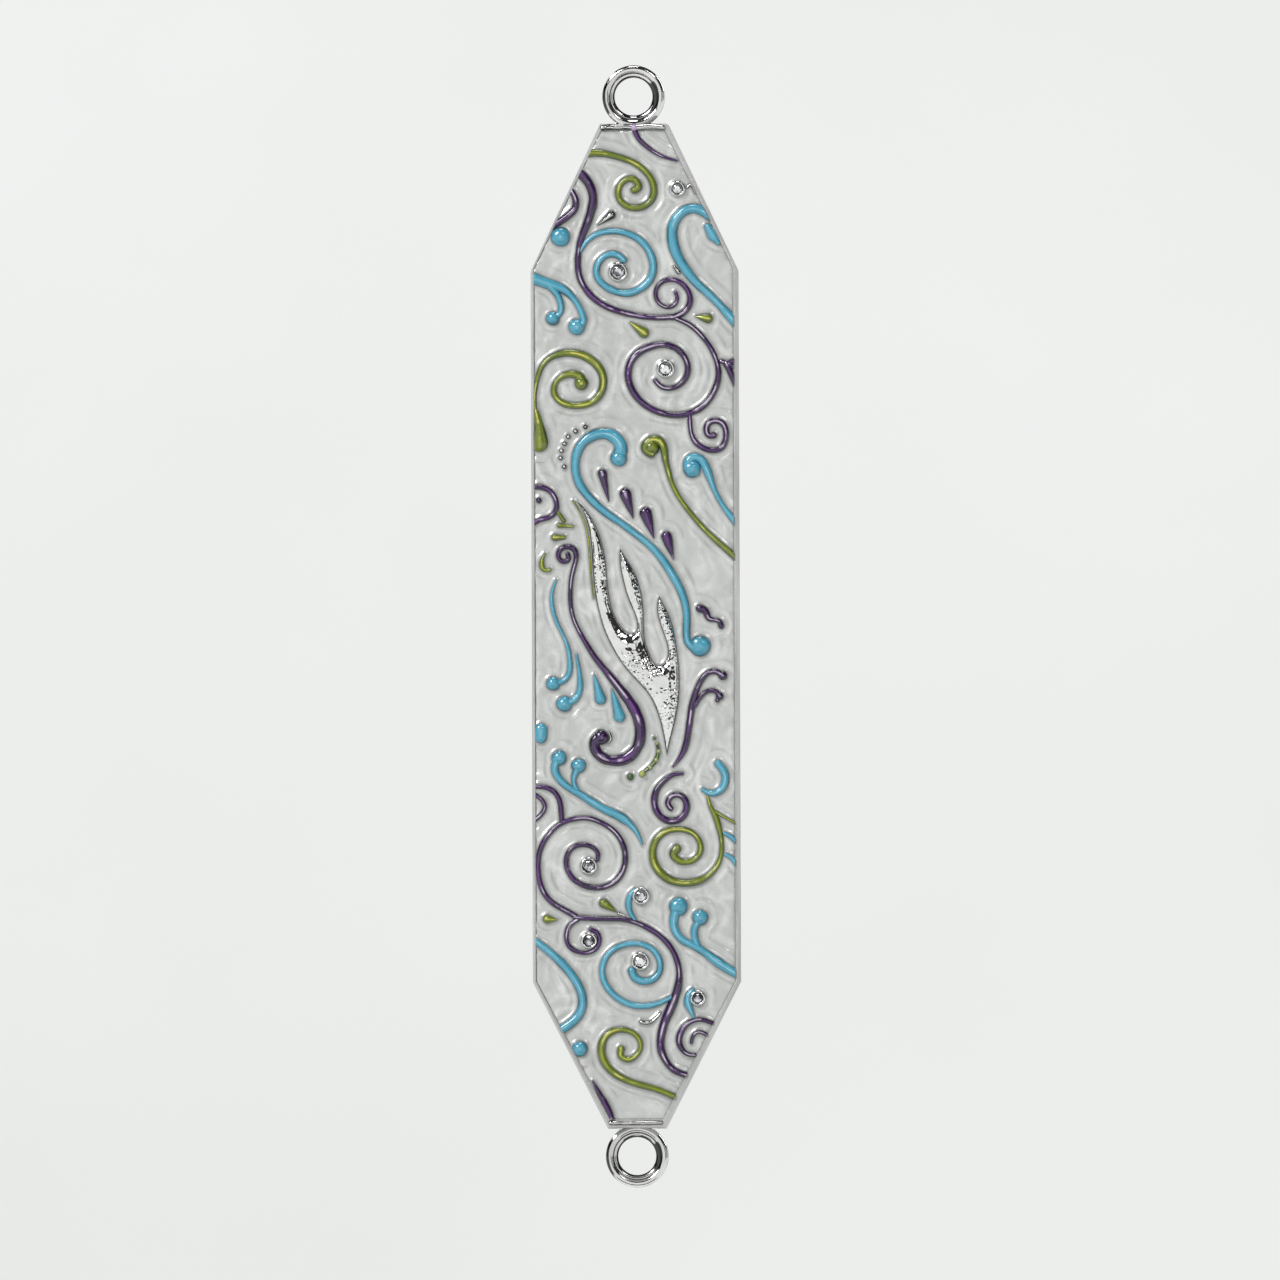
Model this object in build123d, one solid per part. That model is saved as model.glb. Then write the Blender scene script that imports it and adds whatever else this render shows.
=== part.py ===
from build123d import *

import os

# Wall-hung mezuzah case: a shallow cast metal box in the outline of a long octagon, with an eye at each end.
#
# Its face is a pool of pearl enamel crossed by raised scrollwork in purple, blue and green enamel, a bright
# three-flame emblem and eight set crystals. A back cover slides down in grooves, and a rolled scroll lies inside.
# Millimetres. +Z is up, the face looks along -Y, and the plane Y = 0 lies against the doorpost. The origin is the
# centre of the back.

# --- driving dimensions -------------------------------------------------------------------------------------------
CASE_DEPTH = 12.0  # from the doorpost to the front rim
CASE_HALF_WIDTH = 11.85  # at the back
CASE_END = 57.15  # height of each end above and below the middle
SHOULDER = 40.5  # where the sides turn into the tapered ends
TOP_END_HALF_WIDTH = 3.95
BOTTOM_END_HALF_WIDTH = 3.35
DRAFT = 0.4  # the front outline is this much inside the back one, all round
WALL = 1.6

RIM_SIDE = 0.15  # width of the bare rim beside the enamel
RIM_END = 0.75  # and at the two ends
RECESS_DEPTH = 0.7
ENAMEL_THICKNESS = 0.6
STROKE_HEIGHT = 0.55
STROKE_WEIGHT = 1.3  # how much wider a stroke is cast than it is drawn
EMBLEM_HEIGHT = 0.75
SETTING_HEIGHT = 0.6
SETTING_WALL = 0.22

FACE_WALL = 1.2  # metal between the enamel and the scroll chamber
CAVITY_CORNER = 1.0

COVER_THICKNESS = 1.85
TONGUE_THICKNESS = 0.9  # the thin edge of the cover that runs in the grooves
TONGUE_HALF_WIDTH = 10.4
LIP_INNER = 9.6  # half width between the two lips that hold the cover
COVER_GAP = 0.1
PAD_GAP = 0.2
GRIP_COUNT = 6
GRIP_PITCH = 1.6
GRIP_SIZE = (9.0, 0.8, 0.3)
GRIP_LOWEST = -37.0

EYE_HEIGHT = 60.2  # centre of each eye above and below the middle
EYE_RADIUS = 3.57
EYE_BORE = 2.15
EYE_THICKNESS = 2.0
EYE_ROUNDING = 0.55
EYE_MOUTH_ROUNDING = 0.3
EYE_PLANE = 3.6  # distance of the eye's middle plane from the doorpost
NECK_HALF_WIDTH = 2.45

SCROLL_RADIUS = 3.65
SCROLL_CORE = 2.1
SCROLL_LENGTH = 75.0
SLEEVE_FILM = 0.12
STOP_FACE = 39.0  # inner face of the two stops that keep the scroll from sliding
STOP_THICKNESS = 1.2
STOP_HALF_WIDTH = 6.0
CRADLE_INNER = 4.1
CRADLE_WIDTH = 1.0
CRADLE_HEIGHT = 3.0
REST_GAP = 0.05

RIM_PLANE = CASE_DEPTH
RECESS_PLANE = RIM_PLANE - RECESS_DEPTH
ENAMEL_PLANE = RECESS_PLANE + ENAMEL_THICKNESS
CAVITY_PLANE = RECESS_PLANE - FACE_WALL
GROOVE_PLANE = COVER_THICKNESS + COVER_GAP  # the grooves and the lowered bottom end reach this deep
SCROLL_PLANE = (CAVITY_PLANE + GROOVE_PLANE) / 2


# --- drawing helpers ----------------------------------------------------------------------------------------------
def at_depth(depth):
    """The drawing plane this far in front of the doorpost: x is X, y is Z, and extruding goes forwards."""
    return Plane.XZ.offset(depth)


def slab(face, depth, thickness):
    """A flat drawing made solid, from depth forwards."""
    return extrude(at_depth(depth) * face, thickness)


def outline(half_width, shoulder, end, top_half_width, bottom_half_width):
    """The long octagon that the case, its rim and its cavity share."""
    return make_face(
        Polyline(
            (-half_width, -shoulder),
            (-half_width, shoulder),
            (-top_half_width, end),
            (top_half_width, end),
            (half_width, shoulder),
            (half_width, -shoulder),
            (bottom_half_width, -end),
            (-bottom_half_width, -end),
            close=True,
        )
    )


def case_outline(inset, end_inset=None):
    """The back outline moved inwards by inset, and by end_inset at its two ends."""
    end_inset = inset if end_inset is None else end_inset
    slope = 0.6 * inset  # what a slanted side gives up at its ends when it moves in by inset
    return outline(
        CASE_HALF_WIDTH - inset,
        SHOULDER - 0.25 * inset,
        CASE_END - end_inset,
        TOP_END_HALF_WIDTH - slope,
        BOTTOM_END_HALF_WIDTH - slope,
    )


def ribbon(points, widths):
    """A smooth band through the points, whose width runs through widths from its start to its end."""
    line = Spline(*points) if len(points) > 2 else Line(*points)
    stations = max(3 * len(points), 6)
    left, right = [], []
    for i in range(stations + 1):
        share = i / stations
        place = line.position_at(share)
        heading = line.tangent_at(share)
        across = Vector(-heading.Y, heading.X)
        step = share * (len(widths) - 1)
        low = min(int(step), len(widths) - 2)
        half = STROKE_WEIGHT * (widths[low] + (widths[low + 1] - widths[low]) * (step - low)) / 2
        left.append(place + across * half)
        right.append(place - across * half)
    head_cap = line.position_at(1) + line.tangent_at(1) * STROKE_WEIGHT * widths[-1] / 2
    tail_cap = line.position_at(0) - line.tangent_at(0) * STROKE_WEIGHT * widths[0] / 2
    edges = [
        Spline(*left),
        ThreePointArc(left[-1], head_cap, right[-1]),
        Spline(*reversed(right)),
        ThreePointArc(right[0], tail_cap, left[0]),
    ]
    return make_face(edges)


def disc(x, z, radius):
    return Pos(x, z) * Circle(radius)


def drop(head, radius, tip):
    """A teardrop: a round head drawn out to a thin tip."""
    middle = ((head[0] + tip[0]) / 2, (head[1] + tip[1]) / 2)
    return ribbon([tip, middle, head], (0.12, 1.25 * radius, 2 * radius))


# --- the scrollwork: each piece of enamel is drawn as bands through hand-set points, x across and z up ------------
def purple_work():
    return {
        "purple_top_sprig": [
            ribbon([(0.1, 56.4), (0.6, 55.1), (1.5, 54.2), (2.6, 53.4), (3.8, 52.85), (4.9, 52.55)], (0.5, 0.4, 0.22)),
        ],
        "purple_upper_vine": [
            ribbon(
                [(-6.6, 51.6), (-5.3, 50.4), (-4.75, 49.4), (-4.55, 48.2), (-4.8, 46.8), (-5.3, 45.3), (-5.85, 43.9)]
                + [(-6.2, 42.4), (-6.3, 40.9), (-6.1, 39.4), (-5.4, 38.0), (-4.3, 36.8), (-2.8, 35.9), (-1.0, 35.3)]
                + [(1.0, 34.9), (3.0, 34.75), (4.6, 34.85)],
                (0.8, 0.8, 0.55, 0.6, 0.55, 0.5),
            ),
            ribbon(
                [(4.4, 34.8), (5.6, 35.3), (6.3, 36.2), (6.35, 37.3), (5.7, 38.4), (4.7, 39.0), (3.6, 38.95)]
                + [(2.75, 38.3), (2.5, 37.3), (2.9, 36.4), (3.8, 35.95), (4.6, 36.2), (4.95, 36.9), (4.75, 37.6)],
                (0.6, 0.5, 0.4, 0.35),
            ),
        ],
        "purple_upper_volute": [
            ribbon(
                [(4.9, 34.6), (6.2, 34.0), (7.5, 32.9), (8.6, 31.5), (9.35, 29.9), (9.6, 28.3), (9.2, 26.7)]
                + [(8.3, 25.2), (7.0, 24.2), (5.5, 23.75), (3.8, 23.8), (2.1, 24.35), (0.7, 25.35), (-0.25, 26.7)]
                + [(-0.65, 28.2), (-0.4, 29.6), (0.4, 30.7), (1.7, 31.4), (3.2, 31.7), (4.6, 31.35), (5.6, 30.5)]
                + [(6.1, 29.3), (5.95, 28.1), (5.2, 27.15), (4.1, 26.75), (3.1, 26.95), (2.45, 27.6)],
                (0.45, 0.5, 0.6, 0.6, 0.7, 0.55, 0.45),
            ),
        ],
        "purple_curl": [
            ribbon(
                [(6.3, 23.8), (6.35, 22.7), (6.5, 21.6), (7.0, 20.6), (7.9, 19.95), (9.0, 19.7), (9.9, 20.0)]
                + [(10.35, 20.9), (10.4, 21.9), (10.0, 22.75), (9.2, 23.05), (8.45, 22.75), (8.2, 22.0)]
                + [(8.5, 21.4), (9.0, 21.4)],
                (0.4, 0.5, 0.55, 0.55, 0.6),
            ),
        ],
        "purple_edge_scrolls": [
            ribbon([(-7.6, 49.8), (-6.9, 49.0), (-6.5, 48.0), (-6.6, 47.2), (-7.2, 46.5), (-9.2, 45.1)], (0.5, 0.65, 0.65)),
            ribbon([(9.9, 29.8), (10.6, 29.6), (11.9, 30.2)], (0.45, 0.55, 0.5)),
            ribbon([(10.5, 29.5), (10.9, 28.7), (11.5, 26.8)], (0.7, 0.6, 0.25)),
            disc(10.9, 29.4, 0.5),
            ribbon(
                [(-12.0, 15.6), (-10.5, 15.6), (-9.4, 15.0), (-8.85, 14.0), (-8.9, 12.9), (-9.6, 12.2), (-10.5, 11.95)]
                + [(-11.9, 11.2)],
                (0.5, 0.5, 0.45),
            ),
            disc(-10.8, 14.1, 0.35),
            ribbon([(-11.9, -19.0), (-10.8, -19.6), (-10.25, -20.5), (-10.6, -21.4), (-11.8, -22.3)], (0.45, 0.4, 0.4)),
            ribbon(
                [(9.6, -45.5), (8.4, -45.05), (7.5, -44.75), (6.6, -44.8), (5.7, -45.3), (5.1, -46.1), (4.85, -47.1)]
                + [(5.15, -48.0), (5.9, -48.65), (6.6, -48.75)],
                (0.4, 0.45, 0.6, 0.4),
            ),
            ribbon([(8.6, -46.9), (7.7, -46.3), (7.0, -46.15), (6.45, -46.6), (6.25, -47.3)], (0.35, 0.4, 0.3)),
            ribbon([(-4.9, -51.7), (-4.25, -52.9), (-3.6, -54.1), (-3.05, -55.2), (-2.75, -56.2)], (0.2, 0.65, 0.55)),
        ],
        "purple_drops": [
            drop((-3.6, 17.1), 0.42, (-2.9, 14.0)),
            drop((-1.0, 14.8), 0.55, (-0.15, 12.1)),
            drop((1.3, 12.6), 0.58, (2.2, 9.8)),
            drop((3.65, 9.95), 0.5, (4.4, 7.4)),
        ],
        "purple_middle_scroll": [
            ribbon(
                [(-7.55, 8.0), (-7.5, 7.4), (-8.05, 7.15), (-8.6, 7.7), (-8.4, 8.5), (-7.6, 8.85), (-6.8, 8.5)]
                + [(-6.6, 7.6), (-6.8, 6.7), (-7.1, 5.5), (-7.25, 4.1), (-7.25, 2.5), (-7.0, 1.0), (-6.4, -0.5)]
                + [(-5.5, -2.1), (-4.5, -3.7), (-3.4, -5.1), (-2.2, -6.6), (-1.2, -7.9), (-0.3, -9.2), (0.35, -10.6)]
                + [(0.6, -12.1), (0.4, -13.5), (-0.3, -14.6), (-1.3, -15.25), (-2.5, -15.4), (-3.6, -15.1)]
                + [(-4.4, -14.3), (-4.55, -13.3), (-4.0, -12.6)],
                (0.45, 0.5, 0.4, 0.42, 0.55, 0.9, 1.0, 0.95, 1.0),
            ),
            disc(-3.85, -12.75, 0.9),
        ],
        "purple_forks": [
            ribbon(
                [(4.3, -16.1), (5.0, -15.2), (5.65, -13.9), (6.0, -12.3), (6.25, -10.6), (6.5, -9.0), (6.95, -7.5)]
                + [(7.6, -6.2), (8.4, -5.45), (9.3, -5.4), (9.9, -5.85)],
                (0.2, 0.55, 0.62, 0.62, 0.55, 0.5, 0.55),
            ),
            ribbon([(6.8, -9.2), (7.5, -8.1), (8.3, -7.55), (9.1, -7.6), (9.6, -8.15)], (0.4, 0.45, 0.45)),
            disc(9.95, -5.8, 0.55),
            disc(9.6, -8.15, 0.48),
            disc(9.35, -8.6, 0.3),
            ribbon([(7.4, 1.8), (8.0, 1.5), (8.4, 0.7), (9.0, 0.5), (9.6, 0.3), (9.8, -0.2)], (0.75, 0.6, 0.4, 0.55)),
        ],
        "purple_coil": [
            ribbon(
                [(5.3, -16.9), (4.4, -17.0), (3.4, -17.6), (2.5, -18.6), (2.15, -19.9), (2.4, -21.1), (3.2, -22.0)]
                + [(4.3, -22.25), (5.3, -21.8), (5.8, -20.8), (5.6, -19.8), (4.85, -19.3), (4.0, -19.55)]
                + [(3.7, -20.3), (4.0, -20.8)],
                (0.35, 0.6, 0.65, 0.6, 0.5),
            ),
        ],
        "purple_lower_volute": [
            ribbon(
                [(-6.8, -33.0), (-8.2, -32.2), (-9.7, -31.2), (-10.6, -29.8), (-11.0, -28.0), (-11.0, -26.5)]
                + [(-10.6, -25.0), (-9.7, -23.6), (-8.5, -22.55), (-7.0, -22.0), (-5.4, -21.9), (-3.9, -22.4)]
                + [(-2.5, -23.3), (-1.5, -24.7), (-1.15, -26.3), (-1.5, -28.0), (-2.5, -29.2), (-4.0, -29.75)]
                + [(-5.6, -29.6), (-7.0, -28.8), (-7.75, -27.5), (-7.75, -26.2), (-7.1, -25.25), (-5.9, -24.9)]
                + [(-4.8, -25.25), (-4.25, -25.9), (-4.3, -26.6)],
                (0.55, 0.5, 0.45, 0.5, 0.55, 0.5, 0.4),
            ),
            ribbon(
                [(-12.0, -18.3), (-10.4, -18.35), (-9.3, -18.8), (-8.6, -19.8), (-8.4, -21.0), (-8.3, -22.4)],
                (0.45, 0.5, 0.5),
            ),
        ],
        "purple_lower_vine": [
            ribbon(
                [(-6.9, -33.1), (-4.8, -33.25), (-3.0, -33.3), (-1.2, -33.4), (0.2, -33.8), (1.6, -34.5), (3.0, -35.5)]
                + [(4.1, -36.8), (4.75, -38.4), (4.9, -40.0), (4.6, -41.6), (4.0, -43.2), (3.3, -44.8), (2.85, -46.4)]
                + [(2.8, -48.0), (3.3, -49.3), (4.1, -50.3), (6.0, -51.1)],
                (0.5, 0.5, 0.5, 0.55, 0.85, 0.7, 0.55),
            ),
            ribbon(
                [(-6.6, -33.4), (-7.5, -34.1), (-7.85, -35.2), (-7.5, -36.4), (-6.6, -37.0), (-5.4, -37.1)]
                + [(-4.45, -36.6), (-4.1, -35.7), (-4.35, -34.9), (-5.1, -34.5)],
                (0.45, 0.45, 0.4, 0.4),
            ),
        ],
    }


def blue_work():
    return {
        "blue_upper_coil": [
            ribbon(
                [(-6.1, 42.2), (-5.2, 43.5), (-4.2, 44.2), (-2.9, 44.55), (-1.5, 44.5), (0.0, 44.0), (1.2, 43.1)]
                + [(2.0, 41.8), (2.25, 40.4), (1.8, 39.0), (0.7, 38.0), (-0.7, 37.55), (-2.2, 37.8), (-3.5, 38.6)]
                + [(-4.2, 39.8), (-3.9, 41.1), (-2.9, 41.9), (-1.8, 41.85), (-1.1, 41.3)],
                (0.4, 0.55, 0.65, 0.7, 0.65, 0.6, 0.6),
            ),
        ],
        "blue_upper_swoosh": [
            ribbon(
                [(8.6, 46.3), (7.0, 47.1), (5.9, 46.9), (4.9, 46.0), (4.4, 44.7), (4.5, 43.2), (5.0, 41.7), (5.9, 40.2)]
                + [(7.1, 38.7), (8.5, 37.4), (9.8, 36.1), (11.8, 33.8)],
                (0.9, 0.85, 1.0, 0.8, 0.7, 0.8),
            ),
        ],
        "blue_middle_swoosh": [
            ribbon(
                [(-1.8, 18.9), (-1.5, 20.1), (-2.2, 21.2), (-3.3, 21.65), (-4.7, 21.4), (-5.9, 20.5), (-6.55, 19.1)]
                + [(-6.65, 17.6), (-6.3, 16.2), (-5.5, 14.9), (-4.4, 13.7), (-3.0, 12.5), (-1.4, 11.4), (0.2, 10.2)]
                + [(1.8, 8.9), (3.2, 7.3), (4.3, 5.6), (5.2, 3.9), (5.75, 2.2), (5.9, 0.6), (5.85, -0.9), (6.1, -2.1)]
                + [(6.8, -2.8)],
                (1.3, 0.95, 0.75, 0.75, 0.62, 0.62, 0.75, 0.65, 0.7),
            ),
            disc(-1.75, 18.85, 0.95),
            disc(7.4, -2.45, 1.22),
        ],
        "blue_sprigs": [
            ribbon(
                [(-12.0, 39.5), (-10.4, 38.9), (-9.3, 38.5), (-8.2, 38.1), (-7.2, 37.4), (-6.4, 36.4), (-5.8, 35.1)]
                + [(-5.7, 34.3), (-6.3, 33.7)],
                (1.1, 0.9, 0.55, 0.65),
            ),
            ribbon([(-9.4, 38.3), (-8.7, 37.5), (-8.25, 36.4), (-8.3, 35.4), (-8.9, 34.8)], (0.7, 0.55, 0.6)),
            disc(-6.45, 33.75, 0.95),
            disc(-9.15, 34.7, 0.8),
            ribbon(
                [(-8.9, 5.0), (-9.35, 3.6), (-9.3, 2.0), (-8.9, 0.5), (-8.2, -1.0), (-7.6, -2.5), (-7.35, -4.0)]
                + [(-7.4, -5.3), (-7.9, -6.2), (-8.8, -6.6)],
                (0.2, 0.38, 0.3, 0.45, 0.55),
            ),
            disc(-9.25, -6.65, 0.82),
            ribbon([(-6.6, -3.4), (-6.35, -4.9), (-6.2, -6.3), (-6.3, -7.6), (-6.9, -8.5), (-7.7, -8.8)], (0.2, 0.5, 0.7)),
            disc(-8.0, -8.95, 0.92),
            ribbon(
                [(0.75, -24.9), (0.2, -23.6), (-0.7, -22.5), (-2.0, -21.6), (-3.5, -20.9), (-5.0, -20.0)]
                + [(-6.4, -19.1), (-7.7, -18.3), (-8.7, -17.3), (-9.1, -16.2), (-8.8, -15.3)],
                (0.15, 0.8, 0.7, 0.65, 0.7),
            ),
            disc(-8.6, -15.05, 0.88),
            ribbon([(-6.5, -18.9), (-6.95, -17.6), (-6.6, -16.4)], (0.5, 0.45, 0.7)),
            disc(-6.4, -15.95, 0.85),
            ribbon(
                [(4.65, -32.2), (4.3, -33.8), (4.6, -34.9), (5.4, -35.8), (6.6, -36.4), (8.0, -37.3), (9.5, -38.4)]
                + [(11.9, -39.9)],
                (0.9, 0.7, 0.7, 0.85, 0.75),
            ),
            disc(4.85, -31.95, 1.08),
            ribbon([(7.1, -33.6), (6.65, -34.6), (6.7, -35.5), (7.1, -36.6)], (0.7, 0.6, 0.6)),
            disc(7.3, -33.2, 0.93),
        ],
        "blue_lower_coil": [
            ribbon(
                [(4.6, -41.9), (2.9, -42.75), (1.4, -43.15), (-0.3, -43.1), (-1.9, -42.4), (-3.2, -41.1)]
                + [(-3.8, -39.5), (-3.5, -37.9), (-2.4, -36.7), (-0.9, -36.15), (0.7, -36.2), (2.0, -36.9)]
                + [(2.7, -38.1), (2.6, -39.4), (1.8, -40.2), (0.7, -40.35), (-0.15, -39.9), (-0.45, -39.2)],
                (0.4, 0.55, 0.6, 0.55, 0.5, 0.6, 0.75),
            ),
        ],
        "blue_lower_swoosh": [
            ribbon(
                [(-12.0, -35.3), (-9.8, -37.0), (-8.5, -38.2), (-7.3, -39.6), (-6.4, -41.1), (-6.05, -42.6)]
                + [(-6.4, -44.0), (-7.4, -45.1), (-9.2, -46.2)],
                (0.6, 0.75, 0.8, 0.85),
            ),
        ],
        "blue_curls": [
            ribbon(
                [(6.9, 17.3), (6.2, 17.5), (6.1, 18.3), (6.7, 18.9), (7.5, 18.7), (8.1, 17.8), (8.5, 16.8), (9.0, 15.4)]
                + [(9.7, 14.0), (10.4, 12.9), (11.8, 11.2)],
                (0.9, 0.8, 0.75, 0.45, 0.45, 0.7),
            ),
            disc(6.55, 17.6, 1.02),
            ribbon(
                [(9.4, -15.8), (9.95, -16.5), (10.2, -17.3), (10.0, -18.3), (9.3, -19.0), (8.4, -19.1), (7.7, -18.75)],
                (0.7, 0.72, 0.65, 0.6, 0.4),
            ),
            ribbon([(-0.1, -33.4), (-0.6, -32.6), (-0.8, -31.6), (-0.6, -30.7), (-0.1, -30.1)], (0.35, 0.6, 0.45)),
            ribbon([(6.55, -44.5), (6.1, -43.5), (5.85, -42.6), (6.0, -41.9), (6.4, -41.4)], (0.25, 0.8, 0.45)),
        ],
        "blue_dots_and_drops": [
            ribbon([(8.45, 45.0), (8.85, 44.3), (9.6, 43.2)], (0.7, 0.95, 0.4)),
            disc(-8.25, 43.95, 1.12),
            drop((-3.9, -8.4), 0.5, (-4.6, -5.7)),
            drop((-1.75, -10.4), 0.52, (-2.6, -7.3)),
            ribbon([(-10.65, -11.9), (-10.65, -12.7)], (1.1, 1.1)),
            ribbon([(10.1, -23.7), (10.7, -24.0), (11.6, -24.8)], (0.35, 0.45, 0.4)),
            ribbon([(10.2, -26.1), (10.8, -26.4), (11.6, -27.5)], (0.35, 0.45, 0.4)),
            disc(-6.35, -48.0, 0.9),
        ],
    }


def green_work():
    return {
        "green_upper_spiral": [
            ribbon(
                [(-5.6, 53.4), (-3.5, 53.4), (-2.3, 53.15), (-1.1, 52.8), (0.1, 52.3), (1.2, 51.5), (2.0, 50.5)]
                + [(2.35, 49.3), (2.1, 48.2), (1.3, 47.45), (0.2, 47.2), (-0.9, 47.5), (-1.6, 48.3), (-1.65, 49.4)]
                + [(-1.1, 50.2), (-0.2, 50.5), (0.4, 50.15), (0.6, 49.55), (0.15, 49.25)],
                (0.75, 0.6, 0.55, 0.65, 0.6, 0.55, 0.7),
            ),
        ],
        "green_left_volute": [
            ribbon(
                [(-11.0, 23.2), (-11.2, 24.8), (-11.2, 26.4), (-10.95, 27.8), (-10.5, 29.1), (-9.8, 30.0), (-8.7, 30.6)]
                + [(-7.3, 30.8), (-5.9, 30.55), (-4.6, 29.8), (-3.7, 28.7), (-3.45, 27.5), (-3.8, 26.2), (-4.7, 25.25)]
                + [(-6.0, 24.85), (-7.4, 24.9), (-8.55, 25.45), (-9.05, 26.4), (-8.8, 27.5), (-8.0, 28.2)]
                + [(-7.0, 28.4), (-6.2, 28.1), (-5.8, 27.4)],
                (0.35, 0.35, 0.5, 0.75, 0.75, 0.65, 0.6, 0.5, 0.9),
            ),
            disc(-5.95, 27.35, 0.8),
            ribbon([(-10.7, 20.6), (-10.75, 22.2), (-11.1, 24.2)], (1.6, 1.0, 0.5)),
        ],
        "green_middle_curl": [
            ribbon(
                [(1.9, 19.4), (1.3, 19.9), (1.5, 20.6), (2.2, 20.95), (2.95, 20.7), (3.35, 20.0), (3.5, 19.0)]
                + [(3.8, 17.6), (4.2, 16.2), (4.9, 14.7), (5.9, 13.2), (7.1, 11.7), (8.4, 10.3), (9.7, 9.1)]
                + [(11.9, 7.2)],
                (0.8, 0.8, 0.55, 0.45, 0.45, 0.5, 0.55, 0.65),
            ),
            disc(2.0, 20.0, 0.9),
        ],
        "green_right_volute": [
            ribbon(
                [(8.2, -19.5), (8.5, -20.6), (9.0, -21.6), (9.4, -22.8), (9.7, -24.2), (9.75, -25.6), (9.4, -27.0)]
                + [(8.5, -28.2), (7.2, -29.0), (5.7, -29.25), (4.1, -29.0), (2.8, -28.1), (2.05, -26.8)]
                + [(2.0, -25.3), (2.65, -24.0), (3.8, -23.3), (5.2, -23.2), (6.5, -23.65), (7.25, -24.6)]
                + [(7.3, -25.8), (6.7, -26.6), (5.7, -26.9), (4.7, -26.6), (4.3, -25.9), (4.65, -25.4)],
                (0.25, 0.6, 0.4, 0.5, 0.68, 0.75, 0.72, 0.62, 0.55, 0.5, 0.55, 0.8),
            ),
            ribbon([(9.0, -21.2), (10.0, -21.8), (11.9, -22.8)], (0.35, 0.24, 0.26)),
        ],
        "green_lower_spiral": [
            ribbon(
                [(4.8, -53.7), (2.8, -52.8), (1.2, -52.3), (-0.5, -51.8), (-2.0, -51.1), (-3.2, -50.1), (-3.85, -48.8)]
                + [(-3.85, -47.4), (-3.2, -46.35), (-2.0, -45.85), (-0.7, -46.05), (0.25, -46.8), (0.5, -47.9)]
                + [(-0.1, -48.85), (-1.05, -49.2), (-1.75, -48.75), (-1.7, -48.05)],
                (0.55, 0.55, 0.62, 0.72, 0.66, 0.5, 0.45, 0.65),
            ),
        ],
        "green_leaves": [
            drop((1.15, 33.05), 0.48, (-0.4, 34.2)),
            drop((8.4, 34.65), 0.45, (7.0, 34.9)),
            ribbon([(-6.9, 14.0), (-6.0, 12.5), (-5.37, 10.6), (-5.07, 8.0), (-4.88, 5.2), (-4.65, 3.0)], (0.16, 0.2, 0.14)),
            ribbon([(-8.6, 12.7), (-8.0, 11.8)], (0.35, 0.4)),
            ribbon([(-8.5, 11.25), (-7.0, 11.15)], (0.45, 0.25)),
            ribbon([(-9.0, 9.9), (-8.0, 9.9)], (0.65, 0.4)),
            ribbon([(-10.15, 8.0), (-10.5, 7.0), (-10.3, 6.3), (-9.6, 6.2)], (0.2, 0.55, 0.3)),
            drop((-10.0, -33.3), 0.4, (-8.9, -33.4)),
            drop((-3.6, -31.55), 0.42, (-2.1, -32.55)),
        ],
        "green_beads": [
            disc(2.2, -12.9, 0.2),
            ribbon([(2.45, -13.5), (2.6, -14.4), (2.3, -15.4), (1.6, -16.2), (0.75, -16.85)], (0.25, 0.4, 0.25)),
            disc(-0.55, -17.25, 0.42),
        ],
    }


def silver_work():
    """Small raised details that are left bare: a chain of beads, a leaf and short tendrils."""
    beads = [(-5.5, 22.4), (-6.6, 21.9), (-7.45, 21.3), (-7.85, 20.5), (-8.2, 19.7), (-8.3, 18.9), (-7.9, 17.9)]
    return {
        "silver_beads": [disc(x, z, 0.27) for x, z in beads],
        "silver_tendrils": [
            drop((-2.5, 46.4), 0.38, (-4.0, 45.3)),
            ribbon([(6.1, 49.5), (6.5, 49.8), (7.0, 48.9)], (0.2, 0.3, 0.2)),
            ribbon([(4.65, 40.5), (5.1, 39.9)], (0.25, 0.4)),
            ribbon([(2.75, -44.0), (2.2, -44.6), (1.5, -45.05), (0.6, -45.0)], (0.2, 0.25, 0.35)),
            ribbon([(-1.9, -32.7), (-1.2, -33.0)], (0.3, 0.2)),
            ribbon([(-2.9, -12.3), (-2.75, -12.9), (-3.05, -13.4)], (0.25, 0.3, 0.2)),
        ],
    }


CRYSTALS = [  # x, z, radius of each stone
    (5.0, 49.35, 0.62),
    (-1.75, 39.95, 0.8),
    (3.6, 28.95, 0.75),
    (-5.3, -27.3, 0.7),
    (0.6, -30.7, 0.7),
    (-5.3, -35.75, 0.65),
    (0.5, -38.1, 0.75),
    (7.0, -42.3, 0.6),
]


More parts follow.
